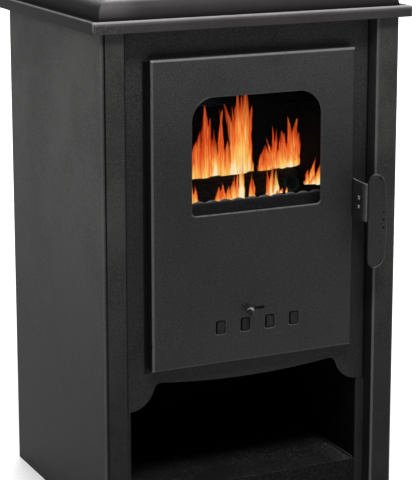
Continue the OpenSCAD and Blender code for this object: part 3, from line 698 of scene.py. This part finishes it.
def slide_finish(place):
    """Dark rolled steel, with painted shadow along the left and the top of each air hole."""
    roll = place.stretched(60, 60, 900).noise(1.0, 3.0, 0.6)
    smut = place.noise(120)
    base = (roll * 0.5 + smut * 0.5).mix(0.012, (0.034, 0.034, 0.033))
    x, _, z = place.axes()
    # Painted shadow at the left and the top of each air hole.
    from_left = ((x - (hole_xs[0] - hole_half) / 1000) * (1000 / hole_pitch)).maths("FRACT")
    top = z.between(0.2606, 0.2620) * (1.0 - z.between(0.2695, 0.2705) * 0.4)
    base = (from_left.below(0.095, 0.135) + top).held().mix(base, 0.0003)
    rough = smut * 0.3 + 0.4
    return {"Base Color": base, "Roughness": rough, "Normal": (roll + smut).bump(0.15, 0.0003)}


slide_steel = new_finish("slide_steel", {"Metallic": 0.2, "Specular IOR Level": 0.05}, slide_finish)
dress(slide_steel, "air_slide")

# ---
# Door. Pressed skin with rolled edges, painted as the fascia. The edges of the window and of the
# air holes are turned in, and their rounded lips carry painted highlights on their lower sides.

low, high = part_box("door_panel")
# Lighter door edges, partly wear and partly painted highlight, strongest along the top; painted shade
# on the door's left side face.
edges = (0, low.x, 0.38), (0, high.x, 0.04), (2, high.z, 1), (2, low.z, 0.14)
folds = [(axis, place, 1, low.y, strength) for axis, place, strength in edges]
groove = (low.x, low.y + 0.0035, 0.85, 0.0, 1.0)
skin_paint = black_paint("door_skin_paint", 0.2, 0.46, folds, 0.30, 0.0036, groove)
dress(skin_paint, "door_panel")
dress(black_paint("door_paint", 0.2, 0.46), "hinge_ears", "handle_lever")


def frame_line(x0, x1, z0, z1, low_r, high_r, gap=1.0):
    """Points and outward normals, about gap apart, round a rectangle with low and high corner radii,
    and how far along each point lies."""
    turn = np.linspace(0, np.pi / 2, 24)
    corners = (
        (x1 - high_r, z1 - high_r, high_r), (x0 + high_r, z1 - high_r, high_r),
        (x0 + low_r, z0 + low_r, low_r), (x1 - low_r, z0 + low_r, low_r),
    )
    arcs = [
        np.stack([cx + r * np.cos(turn + q * np.pi / 2), cz + r * np.sin(turn + q * np.pi / 2)], -1)
        for q, (cx, cz, r) in enumerate(corners)
    ]
    line = np.concatenate([*arcs, arcs[0][:1]])
    run = np.r_[0, np.cumsum(np.hypot(*np.diff(line, axis=0).T))]
    at = np.linspace(0, run[-1], max(int(run[-1] / gap), 60), endpoint=False)
    x, z = np.interp(at, run, line[:, 0]), np.interp(at, run, line[:, 1])
    dx, dz = np.roll(x, -1) - np.roll(x, 1), np.roll(z, -1) - np.roll(z, 1)
    return np.stack([x, z], -1), unit(np.stack([dz, -dx], -1)), at


def swept(line, normal, y, r, deep, count=14):
    """Rings along a closed line: r * cos t along its normal, and deep * sin t in depth."""
    t = circle(count)
    x = line[:, :1] + normal[:, :1] * r * np.cos(t)
    z = line[:, 1:] + normal[:, 1:] * r * np.cos(t)
    return xyz(x, y + deep * np.sin(t), z)


line, normal, _ = frame_line(-86.7, 99.5, 403.0, 555.1, 6, 32, 1.5)
lip = [swept(line, normal, -157.25, 1.15, 1.1)]
# Painted highlight along the lip's lower side.
worn = np.clip(-normal[:, 1:] * 0.9 - 0.1, 0, 1) + np.zeros(14)
lip_paint = black_paint("lip_paint", 0.3, 0.36, (), 0.17)
new_piece("window_lip", lip, lip_paint, "door", "door_paint", loop=True, worn=worn)
holes, lip_highlights = [], []
for x in hole_xs:
    line, normal, _ = frame_line(x - hole_half, x + hole_half, 244.7, 263.7, 3.3, 3.3, 0.8)
    holes.append(swept(line, normal, -157.45, 0.95, 0.8))
    lip_highlights.append(np.clip(-normal[:, 1:] * 1.4 - 0.2, 0, 1) + np.zeros(14))
# Painted highlights on the lower lips, and painted shade on the lips' inner sides.
inner = np.clip(-1.6 * np.cos(circle(14)) + 0.3, 0, 1)
worn = np.concatenate(lip_highlights) * (1 - inner)
grimy = inner + 0 * worn
new_piece("air_hole_lips", holes, lip_paint, "door", "door_paint", loop=True, worn=worn, grimy=grimy)


def bent_pin(x, z):
    """Pin of the air slide, as rings along a line that leaves the slot square to the door and bends to
    the left and down. Its knob swells from radius 3.2 to 4.8, and its end is dished 0.7 deep. A
    painted highlight lies on top of the knob, and painted shade on its end and on the shank near the
    door."""
    neck, crown, shank_r, round_r = 2.6, 10.4, 1.9, 1.2
    t, station = np.linspace(0, 1, 10)[:, None], np.linspace(neck, crown, 14)
    quarter = np.linspace(0, 1.57, 8)[1:]
    way = np.array([-0.70, -0.70, -0.10])
    start, turn = np.array([x, -159.6, z]), np.array([x, -161.6, z])
    curve = start * (1 - t) ** 2 + 2 * turn * t * (1 - t) + (turn + way * 2) * t**2
    dish = 11.6, 11.5, 11.0, 10.9, 11.2, 11.3
    knob = turn + way * np.r_[station, crown + round_r * np.sin(quarter), dish][:, None]
    centre = np.concatenate([[[x, -151.6, z]], curve, knob])
    swell = np.interp(station, (neck, 3.4, crown), (3.2, 4.5, 4.8))
    edge = 3.6 + round_r * np.cos(quarter)
    radius = np.r_[np.full(11, shank_r), swell, edge, 3.4, 3.1, 2.8, 1.8, 1.0, 0.05]
    onward = centre[-7] + way * np.arange(1, 7)[:, None]
    along = unit(np.gradient(np.concatenate([centre[:-6], onward]), axis=0))
    side = unit(np.cross(along, [0.0, 0.0, 1.0]))
    up = np.cross(side, along)
    a = circle(28)[:, None]
    order = np.arange(len(centre))[:, None]
    # Painted highlight on the top of the knob; painted shade on its end, its rim and the shank.
    worn = np.clip(np.sin(a.T) * 1.3, 0, 1) * ((order > 10) & (order < 28))
    grimy = 0.75 * (order > 28) + 0.4 * ((order > 27) & (order < 33)) + 0.6 * (order < 10) + 0 * worn
    spread = side[:, None] * np.cos(a) + up[:, None] * np.sin(a)
    return centre[:, None] + radius[:, None, None] * spread, worn, grimy


pin_paint = black_paint("pin_paint", 0.3, 0.34, (), 0.34)
pin, worn, grimy = bent_pin(-1.5, 274)
new_piece("bent_pin", [pin], pin_paint, "damper", "door_paint", "air_pin", worn=worn, grimy=grimy)

# ---
# Lift handle. A bracket on the door's edge, whose front edge is bent round, carries the lever,
# and a pressed grip with rolled rims is welded to the lever.


def rounding(away, radius):
    """How far a corner of this radius cuts back an edge that ends so far away."""
    return radius - np.sqrt(radius**2 - (radius - np.minimum(away, radius)) ** 2)


def bracket_plate():
    """Plate 2 thick as rings along its centre line, which runs forwards from the door and bends
    round at the front. Its top falls by 3.2 * s + 1.1 * sin(pi * s), and its corners are round. Paint
    wears thin on its front bend, which also carries a painted highlight, and a painted highlight runs
    along its top edge."""
    door_y, edge_y, middle_x = -146.5, -189.4, 149.3
    curl = bent([(door_y, middle_x, 0), (edge_y, middle_x, 1.1), (edge_y, 150.45, 0)], 9)[1:]
    straight = np.stack([np.linspace(door_y, -187.5, 24), np.full(24, middle_x)], -1)
    centre = np.concatenate([straight, curl])
    side = beside(centre, 1) - centre
    s = np.linspace(0, 1, len(centre)) ** 0.8
    corner = rounding(door_y - centre[:, 0], 3)
    low, high = 380 + corner, 434 - 3.2 * s - 1.1 * np.sin(np.pi * s) - corner
    across, outwards, sideways = capsule(np.linspace(0, 1, 10))
    y = centre[:, :1] + side[:, :1] * sideways
    front = np.clip((-181.5 - centre[:, :1]) / 8, 0, 1)
    x = centre[:, 1:] + side[:, 1:] * sideways + 0.15 * front**2 * (sideways > 0)
    z = low[:, None] + 1 + (high - low - 2)[:, None] * across + outwards
    # Wear and painted highlight on the front bend; painted highlight along the top edge.
    worn = np.maximum(0.24 * front**0.7 * (sideways > 0), np.clip(outwards, 0, 1) * (z > 408))
    return xyz(np.minimum(x, 150.45), y, z), worn


bracket_paint = black_paint("bracket_paint", 0.2, 0.36, (), 0.3)
plate, worn = bracket_plate()
new_piece("bent_bracket", [plate], bracket_paint, "door", "door_paint", "handle_bracket", worn=worn)


def hollow_rivet(y, z, r, head):
    """Pin through bracket and lever, as rings along X, with a dished head of radius head whose crest
    stands 1.3 high. When r is 3, a washer of radius 5 ends it."""
    t = np.linspace(0, np.pi, 9)[1:-1]
    out = [(148.28, 0.05), (148.2, 0.9), (147.9, 0.42 * head)]
    out += [(147.9 - 0.9 * math.sin(a), head * (0.7 - 0.28 * math.cos(a))) for a in t]
    out += [(147.9, head), (148.3, head), (148.32, r), (153.5, r)]
    out += [(153.52, 5.0), (154.5, 5.0), (154.9, 4.4), (154.9, 0.05)] if r == 3 else [(153.5, 0.05)]
    x, radius = np.array(out).T[:, :, None]
    a = circle(30)
    return xyz(x, y + radius * np.cos(a), z + radius * np.sin(a))


rivet_paint = black_paint("rivet_paint", 0.5, 0.3, (), 0.5)
rivets = [hollow_rivet(-172, 409, 3, 3.6), hollow_rivet(-172, 397, 2, 3.2)]
# Painted highlights: a lit crescent on the crest of each rivet's head.
lit = np.clip(-1.5 * np.cos(circle(30) + 0.5) - 0.2, 0, 1)
worn = np.concatenate([(np.abs(np.arange(len(r)) - 6) < 3)[:, None] * lit for r in rivets])
replaced = "handle_pivot", "handle_stop"
new_piece("hollow_rivets", rivets, rivet_paint, "door", "zinc_steel", *replaced, worn=worn)


def grip_plate():
    """Pressed grip as rings up Z, 2.4 thick. Its left side is straight and its right side swells as
    3.5 * (1 - h ** 2). The corners have radii 11 and 15. The right rim rolls back, a crescent 1.5 deep
    is pressed inside each right corner, and three holes of radius 1.3 are sunk beside the rim. Painted
    highlights lie at the ends and round the crescents, and painted shade lies in the holes and
    crescents."""
    left, right, low, high, half_thick = 150.6, 178.8, 318.0, 443.5, 1.2
    mid, half = (low + high) / 2, (high - low) / 2
    hole_x, hole_z, crescent_x = right - 5.5, (392.0, 382.0, 371.0), right - 16.5
    fine = np.linspace(-2.2, 2.2, 15)
    height = mid + half * np.sin(np.pi / 2 * np.linspace(-1, 1, 90))
    z = np.unique(np.r_[height, np.add.outer(hole_z, fine).ravel()])[:, None]
    up = np.clip(np.minimum(z - low, high - z), 0, None)
    x0 = left + rounding(up, 11)
    x1 = right - 3.5 * ((z - mid) / half) ** 2 - rounding(up, 15)
    run = np.unique(np.r_[np.linspace(0, 1, 40), (hole_x - left + fine) / (right - left)])
    across, outwards, sideways = capsule(run, 6)
    thin = (half_thick - rounding(up, half_thick)).clip(0.25 * half_thick)
    x = x0 + thin + (x1 - x0 - 2 * thin) * across + thin * outwards
    y = -192.8 - thin * sideways + 0.15 * np.clip((x - x1 + 6) / 6, 0, 1) ** 2
    y = y + 0.5 * np.clip((x0 + 2 - x) / 2, 0, 1) ** 2
    front = sideways > 0
    # Painted shade in the holes and crescents; painted highlights at the ends and round the crescents.
    grimy = 0 * x
    for hz in hole_z:
        away = np.hypot(x - hole_x, z - hz)
        y = y + front * 1.9 / (1 + np.exp((away - 1.25) / 0.12))
        grimy = np.maximum(grimy, front * np.exp(-((away / 1.3) ** 4)))
    worn = np.clip(np.abs(z - mid) - half + 1.6, 0, 1) * 0.6 + 0 * x
    for sign, corner_z in ((1, high - 13), (-1, low + 13)):
        away = np.hypot(x - crescent_x, z - corner_z)
        turn = np.degrees(np.arctan2(sign * (z - corner_z), x - crescent_x))
        crescent = front * np.exp(-(((turn - 42) / 26) ** 4) - ((away - 9.8) / 1.3) ** 2)
        y = y + 1.5 * crescent
        worn = worn + 0.7 * np.exp(-(((turn - 60) / 40) ** 4) - ((away - 11.6) / 0.7) ** 2)
        grimy = np.maximum(grimy, crescent)
    return xyz(x, y, z), worn, grimy


grip_paint = black_paint("grip_paint", 0.18, 0.42, (), 0.16)
plate, worn, grimy = grip_plate()
new_piece(
    "pressed_grip", [plate], grip_paint, "handle", "door_paint", "handle_grip", crease=50,
    worn=worn, grimy=grimy,
)

# ---
# Door seal. Knitted rope of glass fibre, pressed into the back of the door.


def rope(line, normal, at):
    """Rope on a closed line. Its radius is 2.76 + 0.09 * cos(4 t + k s) * cos(4 t - k s), with k for a
    stitch of about 4 millimetres."""
    t = circle(18)
    k = round(at[-1] / 4.0) * 2 * np.pi / (at[-1] + at[1])
    s = at[:, None]
    r = 2.76 + 0.09 * np.cos(4 * t + k * s) * np.cos(4 * t - k * s)
    return swept(line, normal, -146.45, r, r, 18)


def rope_finish(place):
    knit = place.cells(700)
    soot = place.noise(25)
    base = (knit * 1.3 * soot).held().mix((0.02, 0.02, 0.019), (0.16, 0.155, 0.14))
    return {"Base Color": base, "Normal": knit.bump(0.6, 0.001)}


seal = [rope(*frame_line(-123, 130, 221, 587, 10, 10, 0.9))]
seal_rope = new_finish("seal_rope", {"Roughness": 0.9}, rope_finish)
new_piece("rope_seal", seal, seal_rope, "door", "seal_rope", "door_gasket", loop=True)


def glass_finish(place):
    smear = place.noise(30, 4.0, 0.5)
    return {"Alpha": smear * 0.03 + 0.012, "Roughness": smear * 0.06 + 0.02}


clear_glass = {"Base Color": (0.02, 0.02, 0.02, 1), "Specular IOR Level": 0.15}
dress(new_finish("window_glass", clear_glass, glass_finish), "window_glass")

# ---
# Logs and embers. Split logs, charred black, with checked ends that show their rings, lie on a bed
# of embers on the grate, and ash has fallen into the pan.


def split_log(at, r, length, turn, phase, rise, grow, seed, knot=None):
    """Log as rings along its length. Its radius is r * (1 + 0.05 * sin(3 a + phase) + 0.03 * sin(5 a)),
    less the bark's furrows, and each end closes in rings whose relief is a fine cosine. A knot at
    (along, angle) is a pit 2 deep with the rings of a cut branch, in a collar 1.4 high. The second
    value is the distance from an end's middle or from the knot's rim, and -5 on the bark."""
    a, run = circle(96), np.linspace(0, 1, 90)
    shrink = np.array([0.05, 0.2, 0.35, 0.5, 0.65, 0.8, 0.9, 0.965])
    bulge = 1.2 * (1 - shrink**4)
    s = np.r_[np.zeros(8), run, np.ones(8)][:, None]
    part = np.r_[shrink, np.ones(90), shrink[::-1]][:, None]
    dome = np.r_[-bulge, np.zeros(90), bulge[::-1]][:, None]
    along = (s - 0.5) * length
    body = 1 + 0.05 * np.sin(3 * a + math.radians(phase)) + 0.03 * np.sin(5 * a)
    furrow = 0.9 * np.abs(waves(a, along / 40, seed, 6, 26))
    furrow = furrow + 0.5 * np.abs(waves(a, along / 5, seed + 1, 2, 9))
    body = r * (1 + (grow - 1) * s) * body - furrow * (part > 0.9)
    rim = -5.0
    if knot:
        from_knot = np.hypot(along - knot[0], body * (a - math.radians(knot[1])))
        collar, pit = np.exp(-(((from_knot - 12) / 3) ** 2)), np.exp(-((from_knot / 6) ** 2))
        body = body + (1.4 * collar - 2.0 * pit) * (part == 1)
        rim = np.where(from_knot < 14, 14 - from_knot, -5.0)
    radius = body * part
    sx, sy = radius * np.cos(a), radius * np.sin(a)
    reach = along + dome + 0.25 * np.cos(radius * 3.6) * (part < 1)
    c, s = math.cos(math.radians(rise)), math.sin(math.radians(rise))
    x, z = reach * c - sy * s, reach * s + sy * c
    c, s = math.cos(math.radians(turn)), math.sin(math.radians(turn))
    return xyz(x * c - sx * s, x * s + sx * c, z) + at, np.where(part < 1, radius, rim)


def char_finish(place):
    check = place.stretched(0.45, 1, 1).cells(110, "DISTANCE_TO_EDGE")
    ash = place.noise(150, 5.0, 0.7)
    hot = place.noise(24, 3.0, 0.6)
    depth = place.attribute("end_ring")
    cut = depth.between(-2.0, 1.0)
    year = depth.between(0.5, 3.0) * depth.below(4.0, 8.0) * 0.85 + (depth * 2.6).maths("SINE") * 0.12
    base = (ash.between(0.55, 0.78) * 0.5).mix(0.0022, (0.016, 0.0155, 0.015))
    # The cut ends show their rings, painted with a faint teal sheen.
    end = year.held().mix((0.0015, 0.004, 0.004), (0.012, 0.07, 0.07))
    base = cut.mix(base, end)
    low = place.axes()[2].below(0.325, 0.36)
    crack = check.below(0.0, 0.05) * hot.between(0.5, 0.62) * (1.0 - cut) * low
    glow = crack.mix(0.0, (1.0, 0.13, 0.012))
    relief = check.between(0.0, 0.12) + ash * 0.4
    return {"Base Color": base, "Emission Color": glow, "Normal": relief.bump(0.8, 0.002)}


logs, depths = zip(
    split_log((2, -66, 355.8), 32.5, 236, 2, 40, 0, 1, 3),
    split_log((-4, 14, 355.8), 32.5, 232, 1, 160, 0, 1, 5),
    split_log((3, -26, 398.4), 22.4, 252, 2, 90, 0.9, 1.18, 7, (112, 163)),
)
char = {"Roughness": 0.8, "Specular IOR Level": 0.25, "Emission Strength": 0.9}
char = new_finish("charred_wood", char, char_finish)
depths = np.concatenate(depths)
new_piece("charred_logs", logs, char, "stove", "log_wood", "logs", crease=60, end_ring=depths)


def heap(x0, x1, y0, y1, floor_z, rise, seed):
    """Heap of cinders as rings along X: flat below, and above it rises by rise * (0.55 + 0.45 * waves),
    falling to nothing at its four sides."""
    x, y = np.linspace(x0, x1, 120)[:, None], y0 + (y1 - y0) * np.linspace(0, 1, 90)[None, :]
    side = np.clip((x - x0) * (x1 - x) / 900, 0, 1) * np.clip((y - y0) * (y1 - y) / 900, 0, 1)
    lumps = 0.6 * waves(np.round(x) / 7, y / 5, seed, 1, 4)
    lumps = lumps + 0.4 * waves(x / 3, y / 2.2, seed + 1, 1, 4)
    up = floor_z + 0.3 + rise * side**0.4 * (0.55 + 0.45 * lumps).clip(0.05)
    under = np.full_like(up, floor_z)
    return xyz(x, np.concatenate([y, y[:, ::-1]], 1), np.concatenate([up, under], 1))


def ember_finish(place):
    lump = place.cells(110)
    ash = place.noise(260, 4.0, 0.7)
    hot = place.noise(30, 4.0, 0.65).between(0.45, 0.68) * lump.below(0.1, 0.5)
    base = ash.between(0.4, 0.65).mix(0.006, (0.09, 0.087, 0.083))
    glow = hot.ramp(
        (0.0, (0, 0, 0)), (0.35, (0.35, 0.02, 0.0)), (0.7, (0.95, 0.13, 0.015)),
        (1.0, (1.0, 0.38, 0.07)),
    )
    return {"Base Color": base, "Emission Color": glow, "Normal": (lump + ash * 0.5).bump(0.8, 0.002)}


embers = new_finish("embers", {"Roughness": 0.95, "Emission Strength": 1.0}, ember_finish)
bed = [heap(-108, 108, -104, 54, 322, 8, 11)]
new_piece("ember_bed", bed, embers, "stove", "log_wood", crease=70)


def ash_finish(place):
    fine = place.noise(400, 4.0, 0.7)
    bits = place.noise(90, 3.0, 0.6).between(0.62, 0.7)
    base = bits.mix((0.16, 0.155, 0.15), 0.02)
    return {"Base Color": base, "Normal": fine.bump(0.6, 0.001)}


ash = new_finish("wood_ash", {"Roughness": 1.0}, ash_finish)
spill = [heap(-94, 101, -122, 57, 230.6, 14, 21)]
new_piece("ash_heap", spill, ash, "stove", "firebrick", crease=70)

# ---
# Flames. Tongues of fire behind and between the logs, as thin closed blades that glow.


def tongues(name, depth, table, spread, blunt=1.0):
    """Tongues of flame as closed blades, one for each row (foot x, foot z, tip x, tip z, width, bow,
    heat) in millimetres. Up a tongue, v runs from 0 to 1: its middle is foot + (tip - foot) * v + bow
    * height * sin(pi * v) / 4 with a small sway, and its half width is 0.62 * width * (1 - v ** 1.5) **
    p with a ripple, where p is blunt times 0.5 to 1.2. Round a blade the half width is multiplied by
    cos t in width, and by 0.3 * sin t in depth."""
    rows = np.array(table, float)
    foot_x, foot_z, tip_x, tip_z, width, bow, heat = (rows[:, i, None, None] for i in range(7))
    v, t = np.linspace(0, 1, 34)[None, :, None], circle(16)
    order = np.arange(len(rows))[:, None, None]
    tall, arch = tip_z - foot_z, np.sin(np.pi * v)
    sway = 0.07 * width * np.sin(7 * v * (1 + 0.3 * np.sin(order * 2.3)) + order * 1.7) * arch
    middle = foot_x + (tip_x - foot_x) * v + bow * tall * arch / 4 + sway
    ripple = 1 + 0.09 * np.sin(13 * v + 2.1 * order) + 0.06 * np.sin(29 * v + order)
    power = blunt * (0.85 + 0.35 * np.sin(1.9 * order))
    half = 0.62 * width * (1 - v**1.5) ** power * ripple
    half = (half * np.minimum(1, v / 0.04) ** 0.5).clip(0.12)
    x = middle + half * np.cos(t)
    y = depth + spread * np.sin(order * 2.1) + 0.3 * half.clip(0.12, 4) * np.sin(t)
    new_piece(
        name, list(xyz(x, y, foot_z + tall * v)), flame, "stove", "log_wood", crease=180,
        across=np.cos(t) + 0 * y, up=v + 0 * y, warmth=heat + 0 * y,
    )


def flame_finish(place):
    """Glow from deep red at a tongue's rim and tip to pale yellow in its middle, with licks that
    break its edge."""
    across, up, heat = (place.attribute(name) for name in ("across", "up", "warmth"))
    lick = place.stretched(420, 420, 24).noise(1.0, 3.0, 0.6) - 0.5
    broad = place.stretched(120, 120, 16).noise(1.0, 2.0, 0.5) - 0.5
    centre = 1.0 - across * across
    glow = heat * (1.06 - up * 0.72) + (centre - 0.7) * 0.46 + lick * 1.25 + broad * 0.9
    colour = (glow + up.below(0.0, 0.5) * 0.24).held().ramp(
        (0.0, (0.20, 0.008, 0.0)), (0.18, (0.66, 0.045, 0.008)), (0.38, (0.86, 0.145, 0.025)),
        (0.55, (0.96, 0.27, 0.055)), (0.70, (1.0, 0.44, 0.075)), (0.86, (1.0, 0.66, 0.19)),
        (1.0, (1.0, 0.83, 0.52)),
    )
    edge = (centre + lick * 2.2).between(0.05, 0.90) * centre.between(0.0, 0.3)
    tip = 1.0 - up.between(0.5 - heat * 0.3, 1.0) * (heat * 0.5 + 0.45).held()
    clear = edge * tip * (heat * 3.0 + 0.08).held() * 0.9
    return {"Emission Color": colour, "Alpha": clear.held()}


plain = {"Base Color": (0, 0, 0, 1), "Roughness": 1.0, "Specular IOR Level": 0.0}
flame = new_finish("flame", {**plain, "Emission Strength": 1.0}, flame_finish)
rear_fire = [
    (-15.3, 418, -11.3, 486.6, 24.3, -0.04, 0.42), (-10.3, 418, -11.3, 465.6, 15.7, 0, 0.6),
    (-5.3, 418, -6.3, 521.6, 14.3, 0, 0.36), (-0.3, 418, 3.7, 502.6, 14.4, -0.05, 0.32),
    (8.7, 418, 10.7, 486.6, 15.8, 0, 0.5), (19.7, 418, 15.7, 515.6, 7.5, 0.1, 0.34),
    (19.7, 418, 21.7, 512.6, 7.5, -0.1, 0.4), (12.7, 418, 13.7, 472.6, 19.6, 0, 0.72),
    (27.7, 418, 27.7, 471.6, 21.8, 0, 0.4), (38.7, 418, 24.7, 520.6, 14, 0.22, 0.62),
    (40.7, 418, 37.7, 515.6, 11.6, 0.08, 0.42), (46.7, 418, 41.7, 543.6, 25.2, 0.03, 0.58),
    (56.7, 418, 55.7, 543.6, 22, -0.03, 0.62), (60.7, 418, 67.7, 514.6, 12.5, -0.08, 0.36),
    (43.7, 418, 44.7, 474, 17.0, 0, 0.74), (57.7, 418, 53.7, 511.6, 14.0, 0.04, 0.56),
    (50.7, 418, 51.7, 528.6, 11.1, 0, 0.5), (35.7, 418, 34.7, 477.6, 13.1, 0.05, 0.8),
    (64.7, 418, 64.7, 487.6, 7.3, 0, 0.3), (80.7, 418, 88.7, 458.6, 8.8, -0.15, 0.42),
    (88.7, 418, 86.7, 457.6, 25.2, 0, 0.4), (99.7, 418, 97.7, 485.6, 11.9, 0.06, 0.34),
    (94.7, 418, 95.7, 448.6, 22.3, 0, 0.55),
]
right_fire = [
    (101, 426, 85, 471, 6.8, 0.02, 0.38), (100, 426, 103, 481, 11.8, -0.04, 0.46),
    (109, 426, 107, 479, 14.8, 0, 0.44), (113, 427, 113, 475, 10.4, 0, 0.5),
    (105, 426, 107, 454, 24.7, 0, 0.66), (122, 427, 116, 498, 13.4, 0.12, 0.5),
    (125, 427, 133, 494, 13.4, -0.14, 0.5), (124, 427, 124, 487, 16.4, 0, 0.7),
    (122, 427, 123, 458, 14.9, 0, 0.74), (131, 427, 136, 474, 11.9, -0.05, 0.34),
]
front_fire = [
    (-40, 393, -40, 424, 5.6, 0, 0.42), (-33, 393, -34, 421, 9.8, 0, 0.42),
    (-5, 393, -2, 417, 6.5, -0.08, 0.52), (5, 393, -1, 416, 9.4, 0.15, 0.42),
    (9, 393, 6, 421, 9.9, 0.05, 0.42), (14, 393, 12, 417, 10.8, 0, 0.45),
    (20, 393, 21, 422, 9.1, 0, 0.52), (26, 393, 24, 430, 7.1, 0, 0.36),
    (45, 393, 47, 432, 6.0, -0.05, 0.52), (51, 393, 50, 422, 6.1, 0.06, 0.46),
    (78, 393, 82, 437, 11.7, -0.12, 0.62), (83, 393, 83, 438, 9.6, 0.06, 0.92),
    (74, 393, 70, 423, 5.8, 0.1, 0.3), (75, 393, 73, 431, 5.2, 0.1, 0.32),
    (24, 393, 26, 440, 6.0, 0, 0.42),
]
log_streak = [(30, 393, 31, 456, 8.6, 0, 1), (31, 393, 32, 446, 4.6, 0, 0.95)]
fire_veil = [
    (-6.7, 419, -6.7, 462, 31.6, 0, 0.18), (21.3, 419, 21.3, 452, 35, 0, 0.22),
    (50.3, 419, 50.3, 495, 30, 0, 0.26), (94.3, 425, 97.3, 455, 30, 0, 0.14),
    (122.3, 425, 122.3, 458, 33, 0, 0.18), (132.3, 430, 160.3, 439.7, 26, 0, 0.12),
]
side_fire = [
    (63, 407, 65, 415, 6.0, 0, 0.42), (70, 409, 73, 416, 7.0, 0, 0.5),
    (76, 410, 77, 418, 3.6, 0, 0.5), (108, 418, 109, 438, 8.1, 0, 0.5),
    (115, 417, 123, 455, 10.2, 0, 0.6), (124, 416, 127, 447, 11.1, 0, 0.72),
    (119, 417, 119, 431, 13.1, 0, 0.85), (112, 417, 112, 424, 13.1, 0, 0.8),
    (111, 418, 122, 434, 5.8, 0, 0.45),
]
tongues("veil_flames", -19, fire_veil, 1, 0.5)
tongues("rear_flames", -25, rear_fire, 4)
tongues("right_flames", -30, right_fire, 4)
tongues("front_flames", -60, front_fire, 4)
tongues("streak_flames", -66, log_streak, 1, 0.3)
tongues("side_flames", -104, side_fire, 3)
